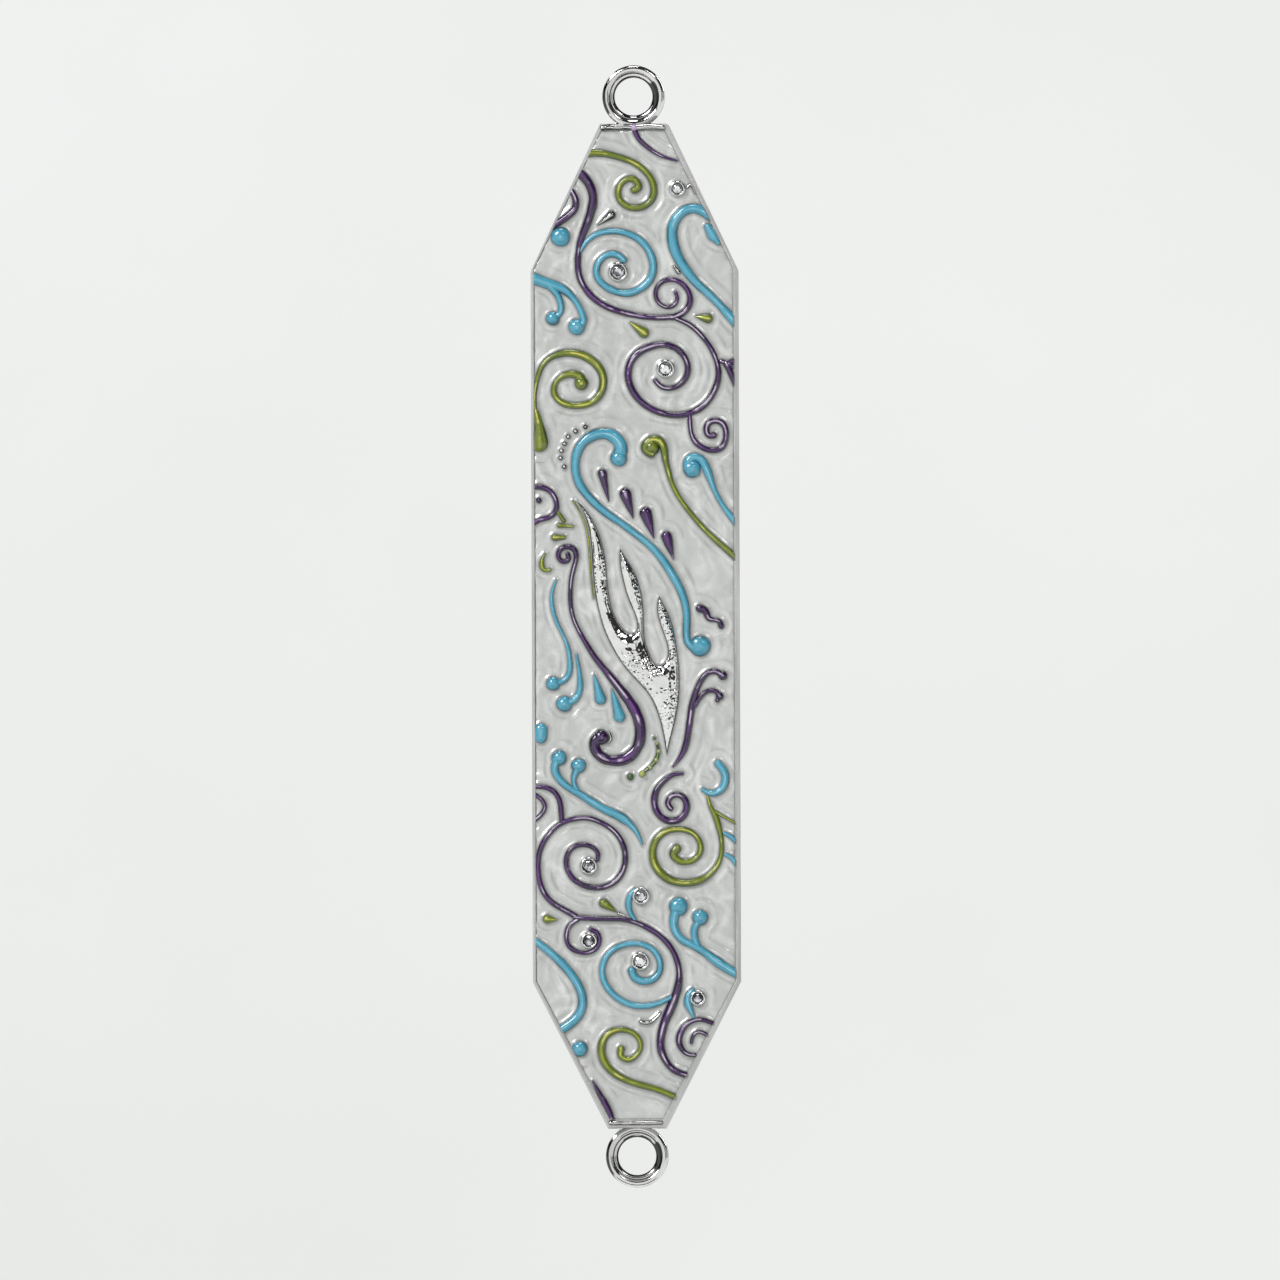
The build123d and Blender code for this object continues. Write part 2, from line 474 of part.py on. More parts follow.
def emblem_face():
    """Three flames that rise from one stem: the edge runs down the left side, up the right and round the prongs."""
    left_side = [(-6.4, 13.9), (-5.55, 12.3), (-5.05, 10.5), (-4.8, 8.0), (-4.65, 5.5), (-4.45, 3.5), (-4.05, 1.5)]
    left_side += [(-3.4, -0.7), (-2.4, -2.8), (-1.2, -4.7), (0.2, -6.3), (1.5, -7.8), (2.3, -9.3), (2.9, -11.1)]
    left_side += [(3.3, -13.0), (3.6, -14.7)]
    right_side = [(3.6, -14.7), (4.0, -13.0), (4.5, -11.0), (4.9, -8.8), (5.05, -6.5), (4.9, -4.0), (4.65, -2.0)]
    right_side += [(4.3, -0.2), (3.9, 1.0), (3.35, 2.1), (2.8, 3.1)]
    right_valley = [(2.8, 3.1), (2.55, 2.0), (2.75, 0.6), (3.2, -0.8), (3.65, -2.2), (3.75, -3.5), (3.3, -4.4)]
    right_valley += [(2.7, -4.65), (2.15, -4.3), (1.65, -3.3), (1.2, -2.0), (1.0, 0.0), (0.95, 2.0), (0.65, 4.0)]
    right_valley += [(0.05, 5.8), (-0.8, 7.3), (-1.6, 8.5)]
    left_valley = [(-1.6, 8.5), (-1.65, 7.0), (-1.35, 5.2), (-0.9, 3.5), (-0.4, 2.2), (0.1, 1.0), (0.3, -0.1)]
    left_valley += [(0.15, -0.8), (-0.35, -1.05), (-1.0, -0.8), (-1.7, 0.0), (-2.35, 1.2), (-2.8, 2.8), (-3.05, 4.5)]
    left_valley += [(-3.2, 6.5), (-3.5, 8.5), (-4.0, 10.3), (-4.8, 12.0), (-6.4, 13.9)]
    return make_face([Spline(*side) for side in (left_side, right_side, right_valley, left_valley)])


# --- the case -----------------------------------------------------------------------------------------------------
def case_body():
    """The outside of the casting, drawn in a little towards the front so that it leaves its mould."""
    back = at_depth(0) * case_outline(0)
    front = at_depth(RIM_PLANE) * case_outline(DRAFT)
    return loft([back, front])


def cover_window(half_width, inset):
    """The open-bottomed shape that the cover and its groove share: the top octagon end with straight sides below."""
    top_drop = CASE_END - inset
    return make_face(
        Polyline(
            (-half_width, -CASE_END - inset),
            (-half_width, SHOULDER),
            (-TOP_END_HALF_WIDTH + 0.6 * inset, top_drop),
            (TOP_END_HALF_WIDTH - 0.6 * inset, top_drop),
            (half_width, SHOULDER),
            (half_width, -CASE_END - inset),
            close=True,
        )
    )


def bottom_end_box(margin):
    """Everything below the bottom shoulder, within the cover's thickness."""
    height = CASE_END - SHOULDER + 10
    box = Box(4 * CASE_HALF_WIDTH, GROOVE_PLANE + 1, height)
    return Pos(0, (1 - GROOVE_PLANE) / 2, -SHOULDER - margin - height / 2) * box


def case_shell(body):
    groove_depth = TONGUE_HALF_WIDTH + COVER_GAP
    cavity = slab(case_outline(WALL + 0.55), -1, CAVITY_PLANE + 1)
    cavity = fillet(cavity.edges().filter_by(Axis.Y), CAVITY_CORNER)
    groove = slab(
        cover_window(groove_depth, CASE_HALF_WIDTH - groove_depth),
        COVER_THICKNESS - TONGUE_THICKNESS - COVER_GAP,
        TONGUE_THICKNESS + 2 * COVER_GAP,
    )
    window = slab(cover_window(LIP_INNER, CASE_HALF_WIDTH - LIP_INNER), -1, GROOVE_PLANE + 1)
    recess = slab(case_outline(DRAFT + RIM_SIDE, DRAFT + RIM_END), RECESS_PLANE, RECESS_DEPTH + 1)
    shell = body - cavity - groove - window - recess - bottom_end_box(0)
    stop = Box(2 * STOP_HALF_WIDTH, CAVITY_PLANE - 4.5, STOP_THICKNESS)
    cradle = Box(CRADLE_WIDTH, CRADLE_HEIGHT, 2 * STOP_FACE - 2)
    for side in (1, -1):
        shell += Pos(0, -(CAVITY_PLANE + 4.5) / 2, side * (STOP_FACE + STOP_THICKNESS / 2)) * stop
        shell += Pos(side * (CRADLE_INNER + CRADLE_WIDTH / 2), -CAVITY_PLANE + CRADLE_HEIGHT / 2, 0) * cradle
    return shell


def eye(side, body):
    """A cast eye on one end: a ring on a short neck, with a plain bore for the screw."""
    ring = Cylinder(EYE_RADIUS, EYE_THICKNESS, rotation=(90, 0, 0))
    ring = fillet(ring.edges(), EYE_ROUNDING)
    neck_length = EYE_HEIGHT - CASE_END + 2
    neck = Box(2 * NECK_HALF_WIDTH, EYE_THICKNESS - 0.3, neck_length)
    neck = fillet(neck.edges().filter_by(Axis.Z), 0.3)
    shape = ring + Pos(0, 0, -side * neck_length / 2) * neck
    shape -= Cylinder(EYE_BORE, 2 * EYE_THICKNESS, rotation=(90, 0, 0))
    mouths = shape.edges().filter_by(GeomType.CIRCLE).filter_by(lambda e: abs(e.radius - EYE_BORE) < 1e-3)
    shape = fillet(mouths, EYE_MOUTH_ROUNDING)
    return Pos(0, -EYE_PLANE, side * EYE_HEIGHT) * shape - body


def back_cover():
    """A plate whose thin edges run in the grooves; below the shoulder it fills the case's own outline."""
    slide = cover_window(TONGUE_HALF_WIDTH, CASE_HALF_WIDTH - TONGUE_HALF_WIDTH)
    pad = cover_window(LIP_INNER - PAD_GAP, CASE_HALF_WIDTH - LIP_INNER + PAD_GAP)
    plate = slab(slide, COVER_THICKNESS - TONGUE_THICKNESS, TONGUE_THICKNESS) + slab(pad, 0, COVER_THICKNESS)
    tail = slab(case_outline(0.05), 0, COVER_THICKNESS) & bottom_end_box(COVER_GAP)
    cover = plate - bottom_end_box(COVER_GAP) + tail
    width, height, depth = GRIP_SIZE
    groove = fillet(Box(width, 2 * depth, height).edges().filter_by(Axis.Y), 0.35)
    for i in range(GRIP_COUNT):
        cover -= Pos(0, 0, GRIP_LOWEST + i * GRIP_PITCH) * groove
    return cover


# --- what the case holds ------------------------------------------------------------------------------------------
def tube(outer, inner, length, bottom):
    ring = Circle(outer) - Circle(inner)
    return Pos(0, -SCROLL_PLANE, bottom) * extrude(ring, length)


def scroll_parts():
    """The parchment rests on the lower stop, rolled inside a thin clear sleeve."""
    bottom = -STOP_FACE + REST_GAP
    parchment = tube(SCROLL_RADIUS, SCROLL_CORE, SCROLL_LENGTH, bottom)
    sleeve = tube(SCROLL_RADIUS + SLEEVE_FILM, SCROLL_RADIUS, SCROLL_LENGTH, bottom)
    return {"scroll_parchment": parchment, "scroll_sleeve": sleeve}


# --- crystals -----------------------------------------------------------------------------------------------------
def setting_face(x, z, radius):
    return disc(x, z, radius + SETTING_WALL)


def setting(x, z, radius):
    ring = disc(x, z, radius + SETTING_WALL) - disc(x, z, radius)
    return slab(ring, ENAMEL_PLANE, SETTING_HEIGHT)


def crystal(x, z, radius):
    """An eight-sided chaton: a pointed pavilion below the girdle and a flat-topped crown above it."""
    girdle = Pos(x, z) * RegularPolygon(radius - 0.01, 8)
    table = Pos(x, z) * RegularPolygon(0.6 * radius, 8)
    culet = Pos(x, z) * RegularPolygon(0.1 * radius, 8)
    low, middle, high = ENAMEL_PLANE, ENAMEL_PLANE + 0.4, ENAMEL_PLANE + 0.75
    pavilion = loft([at_depth(low) * culet, at_depth(middle) * girdle])
    crown = loft([at_depth(middle) * girdle, at_depth(high) * table])
    return pavilion + crown


# --- putting it together ------------------------------------------------------------------------------------------
def relief():
    """Every raised node of the face. Where two drawings meet, the one listed first keeps the ground."""
    panel = case_outline(DRAFT + RIM_SIDE + 0.05, DRAFT + RIM_END + 0.05)
    settings = Sketch() + [setting_face(*stone) for stone in CRYSTALS]
    taken = settings + emblem_face()
    made = {"shin_emblem": slab(emblem_face(), ENAMEL_PLANE, EMBLEM_HEIGHT)}
    made["crystal_settings"] = [setting(*stone) for stone in CRYSTALS]
    made["crystals"] = [crystal(*stone) for stone in CRYSTALS]
    for work in (purple_work(), blue_work(), green_work(), silver_work()):
        for name, faces in work.items():
            drawing = ((Sketch() + faces) & panel) - taken
            taken = taken + drawing
            made[name] = [slab(face, ENAMEL_PLANE, STROKE_HEIGHT) for face in drawing.faces()]
    return made


def main():
    os.makedirs("parts", exist_ok=True)
    body = case_body()
    nodes = {
        "case_shell": case_shell(body),
        "top_eye": eye(1, body),
        "bottom_eye": eye(-1, body),
        "back_cover": back_cover(),
        "pearl_enamel": slab(case_outline(DRAFT + RIM_SIDE, DRAFT + RIM_END), RECESS_PLANE, ENAMEL_THICKNESS),
        **scroll_parts(),
        **relief(),
    }
    for name, shape in nodes.items():
        shapes = shape if isinstance(shape, list) else [shape]
        solids = [solid for item in shapes for solid in item.solids()]
        export_step(Compound(label=name, children=solids) if len(solids) > 1 else solids[0], f"parts/{name}.step")


main()
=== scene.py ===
import math

import bmesh
import bpy
import numpy as np
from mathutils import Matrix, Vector, noise
from mathutils.geometry import delaunay_2d_cdt


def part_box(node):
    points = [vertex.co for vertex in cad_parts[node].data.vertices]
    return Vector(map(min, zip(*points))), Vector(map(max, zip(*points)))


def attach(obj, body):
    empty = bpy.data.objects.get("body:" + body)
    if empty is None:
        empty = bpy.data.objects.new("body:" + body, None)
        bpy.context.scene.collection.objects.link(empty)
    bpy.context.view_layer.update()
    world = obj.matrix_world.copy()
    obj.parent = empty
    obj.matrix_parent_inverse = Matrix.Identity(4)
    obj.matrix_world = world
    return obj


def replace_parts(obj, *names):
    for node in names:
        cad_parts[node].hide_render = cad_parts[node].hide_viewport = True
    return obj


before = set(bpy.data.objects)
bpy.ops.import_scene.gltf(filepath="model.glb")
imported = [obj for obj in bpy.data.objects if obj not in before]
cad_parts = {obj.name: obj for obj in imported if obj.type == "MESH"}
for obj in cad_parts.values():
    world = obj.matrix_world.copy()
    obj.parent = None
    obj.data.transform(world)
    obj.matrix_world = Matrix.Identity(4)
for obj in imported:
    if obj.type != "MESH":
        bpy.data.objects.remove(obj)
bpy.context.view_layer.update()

# The drawings below are in millimetres, x across and z up; height is how far something stands off the enamel.
MM = 0.001
PEARL_LOW, PEARL_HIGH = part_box("pearl_enamel")
FACE = PEARL_LOW.y / MM  # the enamel's plane; in front of it y is smaller
RECESS = PEARL_HIGH.y / MM
STROKE_TOP = (PEARL_LOW.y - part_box("purple_coil")[0].y) / MM
EMBLEM_TOP = (PEARL_LOW.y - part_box("shin_emblem")[0].y) / MM
SETTING_TOP = (PEARL_LOW.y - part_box("crystal_settings")[0].y) / MM

BAND_STEP = 0.11  # between one cross-section of a raised stroke and the next
BAND_PROFILE = 14
STROKE_WEIGHT = 1.3  # how much wider a stroke is cast than it is drawn
CAP_STEPS = 5
SINK = 0.15  # how far a stroke's foot reaches into the enamel
GROUND_STEP = 0.16
SKIRT = 0.3  # the pearl enamel climbs towards each stroke over about this distance
SKIRT_RISE = 0.16
WAVE_AT = 0.95  # and stands in a low wave this far away from it
WAVE_WIDTH = 0.3
WAVE_RISE = 0.12
EMBLEM_STEP = 0.11
BEZEL = 0.22  # the width of the metal round each crystal
EYE_OUTER = 3.57
LIP_TOP = 0.5  # how high the lumps on the lip across each end stand
PALE_TOP = STROKE_TOP + 0.22
SHARP = math.radians(40)  # where two faces of a thin sheet meet in a corner


# --- drawings ---
def band(widths, *places):
    """A stroke through the x, z pairs of places; its widths are spread evenly along it."""
    return {"points": list(zip(places[::2], places[1::2])), "widths": widths}


def disc(x, z, radius):
    return {"centre": (x, z), "radius": radius}


def drop(head, radius, tip):
    middle = ((head[0] + tip[0]) / 2, (head[1] + tip[1]) / 2)
    return band((0.12, 1.25 * radius, 2 * radius), *tip, *middle, *head)


PURPLE_WORK = {
    "purple_top_sprig": [
        band((0.5, 0.4, 0.22), 0.1, 56.4, 0.6, 55.1, 1.5, 54.2, 2.6, 53.4, 3.8, 52.85, 4.9, 52.55),
    ],
    "purple_upper_vine": [
        band((0.8, 0.8, 0.55, 0.6, 0.55, 0.5), -6.6, 51.6, -5.3, 50.4, -4.75, 49.4, -4.55, 48.2, -4.8, 46.8,
            -5.3, 45.3, -5.85, 43.9, -6.2, 42.4, -6.3, 40.9, -6.1, 39.4, -5.4, 38, -4.3, 36.8, -2.8, 35.9,
            -1, 35.3, 1, 34.9, 3, 34.75, 4.6, 34.85),
        band((0.6, 0.5, 0.4, 0.35), 4.4, 34.8, 5.6, 35.3, 6.3, 36.2, 6.35, 37.3, 5.7, 38.4, 4.7, 39,
            3.6, 38.95, 2.75, 38.3, 2.5, 37.3, 2.9, 36.4, 3.8, 35.95, 4.6, 36.2, 4.95, 36.9, 4.75, 37.6),
    ],
    "purple_upper_volute": [
        band((0.45, 0.5, 0.6, 0.6, 0.7, 0.55, 0.45), 4.9, 34.6, 6.2, 34, 7.5, 32.9, 8.6, 31.5, 9.35, 29.9,
            9.6, 28.3, 9.2, 26.7, 8.3, 25.2, 7, 24.2, 5.5, 23.75, 3.8, 23.8, 2.1, 24.35, 0.7, 25.35,
            -0.25, 26.7, -0.65, 28.2, -0.4, 29.6, 0.4, 30.7, 1.7, 31.4, 3.2, 31.7, 4.6, 31.35, 5.6, 30.5,
            6.1, 29.3, 5.95, 28.1, 5.2, 27.15, 4.1, 26.75, 3.1, 26.95, 2.45, 27.6),
    ],
    "purple_curl": [
        band((0.4, 0.5, 0.55, 0.55, 0.6), 6.3, 23.8, 6.35, 22.7, 6.5, 21.6, 7, 20.6, 7.9, 19.95, 9, 19.7,
            9.9, 20, 10.35, 20.9, 10.4, 21.9, 10, 22.75, 9.2, 23.05, 8.45, 22.75, 8.2, 22, 8.5, 21.4,
            9, 21.4),
    ],
    "purple_edge_scrolls": [
        band((0.5, 0.65, 0.65), -7.6, 49.8, -6.9, 49, -6.5, 48, -6.6, 47.2, -7.2, 46.5, -9.2, 45.1),
        band((0.45, 0.55, 0.5), 9.9, 29.8, 10.6, 29.6, 11.9, 30.2),
        band((0.7, 0.6, 0.25), 10.5, 29.5, 10.9, 28.7, 11.5, 26.8), disc(10.9, 29.4, 0.5),
        band((0.5, 0.5, 0.45), -12, 15.6, -10.5, 15.6, -9.4, 15, -8.85, 14, -8.9, 12.9, -9.6, 12.2,
            -10.5, 11.95, -11.9, 11.2),
        disc(-10.8, 14.1, 0.35),
        band((0.45, 0.4, 0.4), -11.9, -19, -10.8, -19.6, -10.25, -20.5, -10.6, -21.4, -11.8, -22.3),
        band((0.4, 0.45, 0.6, 0.4), 9.6, -45.5, 8.4, -45.05, 7.5, -44.75, 6.6, -44.8, 5.7, -45.3, 5.1, -46.1,
            4.85, -47.1, 5.15, -48, 5.9, -48.65, 6.6, -48.75),
        band((0.35, 0.4, 0.3), 8.6, -46.9, 7.7, -46.3, 7, -46.15, 6.45, -46.6, 6.25, -47.3),
        band((0.2, 0.65, 0.55), -4.9, -51.7, -4.25, -52.9, -3.6, -54.1, -3.05, -55.2, -2.75, -56.2),
    ],
    "purple_drops": [
        drop((-3.6, 17.1), 0.42, (-2.9, 14)), drop((-1, 14.8), 0.55, (-0.15, 12.1)),
        drop((1.3, 12.6), 0.58, (2.2, 9.8)), drop((3.65, 9.95), 0.5, (4.4, 7.4)),
    ],
    "purple_middle_scroll": [
        band((0.45, 0.5, 0.4, 0.42, 0.55, 0.9, 1, 0.95, 1), -7.55, 8, -7.5, 7.4, -8.05, 7.15, -8.6, 7.7,
            -8.4, 8.5, -7.6, 8.85, -6.8, 8.5, -6.6, 7.6, -6.8, 6.7, -7.1, 5.5, -7.25, 4.1, -7.25, 2.5, -7, 1,
            -6.4, -0.5, -5.5, -2.1, -4.5, -3.7, -3.4, -5.1, -2.2, -6.6, -1.2, -7.9, -0.3, -9.2, 0.35, -10.6,
            0.6, -12.1, 0.4, -13.5, -0.3, -14.6, -1.3, -15.25, -2.5, -15.4, -3.6, -15.1, -4.4, -14.3,
            -4.55, -13.3, -4, -12.6),
        disc(-3.85, -12.75, 0.9),
    ],
    "purple_forks": [
        band((0.2, 0.55, 0.62, 0.62, 0.55, 0.5, 0.55), 4.3, -16.1, 5, -15.2, 5.65, -13.9, 6, -12.3,
            6.25, -10.6, 6.5, -9, 6.95, -7.5, 7.6, -6.2, 8.4, -5.45, 9.3, -5.4, 9.9, -5.85),
        band((0.4, 0.45, 0.45), 6.8, -9.2, 7.5, -8.1, 8.3, -7.55, 9.1, -7.6, 9.6, -8.15),
        disc(9.95, -5.8, 0.55), disc(9.6, -8.15, 0.48), disc(9.35, -8.6, 0.3),
        band((0.75, 0.6, 0.4, 0.55), 7.4, 1.8, 8, 1.5, 8.4, 0.7, 9, 0.5, 9.6, 0.3, 9.8, -0.2),
    ],
    "purple_coil": [
        band((0.35, 0.6, 0.65, 0.6, 0.5), 5.3, -16.9, 4.4, -17, 3.4, -17.6, 2.5, -18.6, 2.15, -19.9,
            2.4, -21.1, 3.2, -22, 4.3, -22.25, 5.3, -21.8, 5.8, -20.8, 5.6, -19.8, 4.85, -19.3, 4, -19.55,
            3.7, -20.3, 4, -20.8),
    ],
    "purple_lower_volute": [
        band((0.55, 0.5, 0.45, 0.5, 0.55, 0.5, 0.4), -6.8, -33, -8.2, -32.2, -9.7, -31.2, -10.6, -29.8,
            -11, -28, -11, -26.5, -10.6, -25, -9.7, -23.6, -8.5, -22.55, -7, -22, -5.4, -21.9, -3.9, -22.4,
            -2.5, -23.3, -1.5, -24.7, -1.15, -26.3, -1.5, -28, -2.5, -29.2, -4, -29.75, -5.6, -29.6,
            -7, -28.8, -7.75, -27.5, -7.75, -26.2, -7.1, -25.25, -5.9, -24.9, -4.8, -25.25, -4.25, -25.9,
            -4.3, -26.6),
        band((0.45, 0.5, 0.5), -12, -18.3, -10.4, -18.35, -9.3, -18.8, -8.6, -19.8, -8.4, -21, -8.3, -22.4),
    ],
    "purple_lower_vine": [
        band((0.5, 0.5, 0.5, 0.55, 0.85, 0.7, 0.55), -6.9, -33.1, -4.8, -33.25, -3, -33.3, -1.2, -33.4,
            0.2, -33.8, 1.6, -34.5, 3, -35.5, 4.1, -36.8, 4.75, -38.4, 4.9, -40, 4.6, -41.6, 4, -43.2,
            3.3, -44.8, 2.85, -46.4, 2.8, -48, 3.3, -49.3, 4.1, -50.3, 6, -51.1),
        band((0.45, 0.45, 0.4, 0.4), -6.6, -33.4, -7.5, -34.1, -7.85, -35.2, -7.5, -36.4, -6.6, -37,
            -5.4, -37.1, -4.45, -36.6, -4.1, -35.7, -4.35, -34.9, -5.1, -34.5),
    ],
}
BLUE_WORK = {
    "blue_upper_coil": [
        band((0.4, 0.55, 0.65, 0.7, 0.65, 0.6, 0.6), -6.1, 42.2, -5.2, 43.5, -4.2, 44.2, -2.9, 44.55,
            -1.5, 44.5, 0, 44, 1.2, 43.1, 2, 41.8, 2.25, 40.4, 1.8, 39, 0.7, 38, -0.7, 37.55, -2.2, 37.8,
            -3.5, 38.6, -4.2, 39.8, -3.9, 41.1, -2.9, 41.9, -1.8, 41.85, -1.1, 41.3),
    ],
    "blue_upper_swoosh": [
        band((0.9, 0.85, 1, 0.8, 0.7, 0.8), 8.6, 46.3, 7, 47.1, 5.9, 46.9, 4.9, 46, 4.4, 44.7, 4.5, 43.2,
            5, 41.7, 5.9, 40.2, 7.1, 38.7, 8.5, 37.4, 9.8, 36.1, 11.8, 33.8),
    ],
    "blue_middle_swoosh": [
        band((1.3, 0.95, 0.75, 0.75, 0.62, 0.62, 0.75, 0.65, 0.7), -1.8, 18.9, -1.5, 20.1, -2.2, 21.2,
            -3.3, 21.65, -4.7, 21.4, -5.9, 20.5, -6.55, 19.1, -6.65, 17.6, -6.3, 16.2, -5.5, 14.9, -4.4, 13.7,
            -3, 12.5, -1.4, 11.4, 0.2, 10.2, 1.8, 8.9, 3.2, 7.3, 4.3, 5.6, 5.2, 3.9, 5.75, 2.2, 5.9, 0.6,
            5.85, -0.9, 6.1, -2.1, 6.8, -2.8),
        disc(-1.75, 18.85, 0.95), disc(7.4, -2.45, 1.22),
    ],
    "blue_sprigs": [
        band((1.1, 0.9, 0.55, 0.65), -12, 39.5, -10.4, 38.9, -9.3, 38.5, -8.2, 38.1, -7.2, 37.4, -6.4, 36.4,
            -5.8, 35.1, -5.7, 34.3, -6.3, 33.7),
        band((0.7, 0.55, 0.6), -9.4, 38.3, -8.7, 37.5, -8.25, 36.4, -8.3, 35.4, -8.9, 34.8),
        disc(-6.45, 33.75, 0.95), disc(-9.15, 34.7, 0.8),
        band((0.2, 0.38, 0.3, 0.45, 0.55), -8.9, 5, -9.35, 3.6, -9.3, 2, -8.9, 0.5, -8.2, -1, -7.6, -2.5,
            -7.35, -4, -7.4, -5.3, -7.9, -6.2, -8.8, -6.6),
        disc(-9.25, -6.65, 0.82),
        band((0.2, 0.5, 0.7), -6.6, -3.4, -6.35, -4.9, -6.2, -6.3, -6.3, -7.6, -6.9, -8.5, -7.7, -8.8),
        disc(-8, -8.95, 0.92),
        band((0.15, 0.8, 0.7, 0.65, 0.7), 0.75, -24.9, 0.2, -23.6, -0.7, -22.5, -2, -21.6, -3.5, -20.9,
            -5, -20, -6.4, -19.1, -7.7, -18.3, -8.7, -17.3, -9.1, -16.2, -8.8, -15.3),
        disc(-8.6, -15.05, 0.88), band((0.5, 0.45, 0.7), -6.5, -18.9, -6.95, -17.6, -6.6, -16.4),
        disc(-6.4, -15.95, 0.85),
        band((0.9, 0.7, 0.7, 0.85, 0.75), 4.65, -32.2, 4.3, -33.8, 4.6, -34.9, 5.4, -35.8, 6.6, -36.4,
            8, -37.3, 9.5, -38.4, 11.9, -39.9),
        disc(4.85, -31.95, 1.08), band((0.7, 0.6, 0.6), 7.1, -33.6, 6.65, -34.6, 6.7, -35.5, 7.1, -36.6),
        disc(7.3, -33.2, 0.93),
    ],
    "blue_lower_coil": [
        band((0.4, 0.55, 0.6, 0.55, 0.5, 0.6, 0.75), 4.6, -41.9, 2.9, -42.75, 1.4, -43.15, -0.3, -43.1,
            -1.9, -42.4, -3.2, -41.1, -3.8, -39.5, -3.5, -37.9, -2.4, -36.7, -0.9, -36.15, 0.7, -36.2,
            2, -36.9, 2.7, -38.1, 2.6, -39.4, 1.8, -40.2, 0.7, -40.35, -0.15, -39.9, -0.45, -39.2),
    ],
    "blue_lower_swoosh": [
        band((0.6, 0.75, 0.8, 0.85), -12, -35.3, -9.8, -37, -8.5, -38.2, -7.3, -39.6, -6.4, -41.1,
            -6.05, -42.6, -6.4, -44, -7.4, -45.1, -9.2, -46.2),
    ],
    "blue_curls": [
        band((0.9, 0.8, 0.75, 0.45, 0.45, 0.7), 6.9, 17.3, 6.2, 17.5, 6.1, 18.3, 6.7, 18.9, 7.5, 18.7,
            8.1, 17.8, 8.5, 16.8, 9, 15.4, 9.7, 14, 10.4, 12.9, 11.8, 11.2),
        disc(6.55, 17.6, 1.02),
        band((0.7, 0.72, 0.65, 0.6, 0.4), 9.4, -15.8, 9.95, -16.5, 10.2, -17.3, 10, -18.3, 9.3, -19,
            8.4, -19.1, 7.7, -18.75),
        band((0.35, 0.6, 0.45), -0.1, -33.4, -0.6, -32.6, -0.8, -31.6, -0.6, -30.7, -0.1, -30.1),
        band((0.25, 0.8, 0.45), 6.55, -44.5, 6.1, -43.5, 5.85, -42.6, 6, -41.9, 6.4, -41.4),
    ],
    "blue_dots_and_drops": [
        band((0.7, 0.95, 0.4), 8.45, 45, 8.85, 44.3, 9.6, 43.2), disc(-8.25, 43.95, 1.12),
        drop((-3.9, -8.4), 0.5, (-4.6, -5.7)), drop((-1.75, -10.4), 0.52, (-2.6, -7.3)),
        band((1.1, 1.1), -10.65, -11.9, -10.65, -12.7),
        band((0.35, 0.45, 0.4), 10.1, -23.7, 10.7, -24, 11.6, -24.8),
        band((0.35, 0.45, 0.4), 10.2, -26.1, 10.8, -26.4, 11.6, -27.5), disc(-6.35, -48, 0.9),
    ],
}
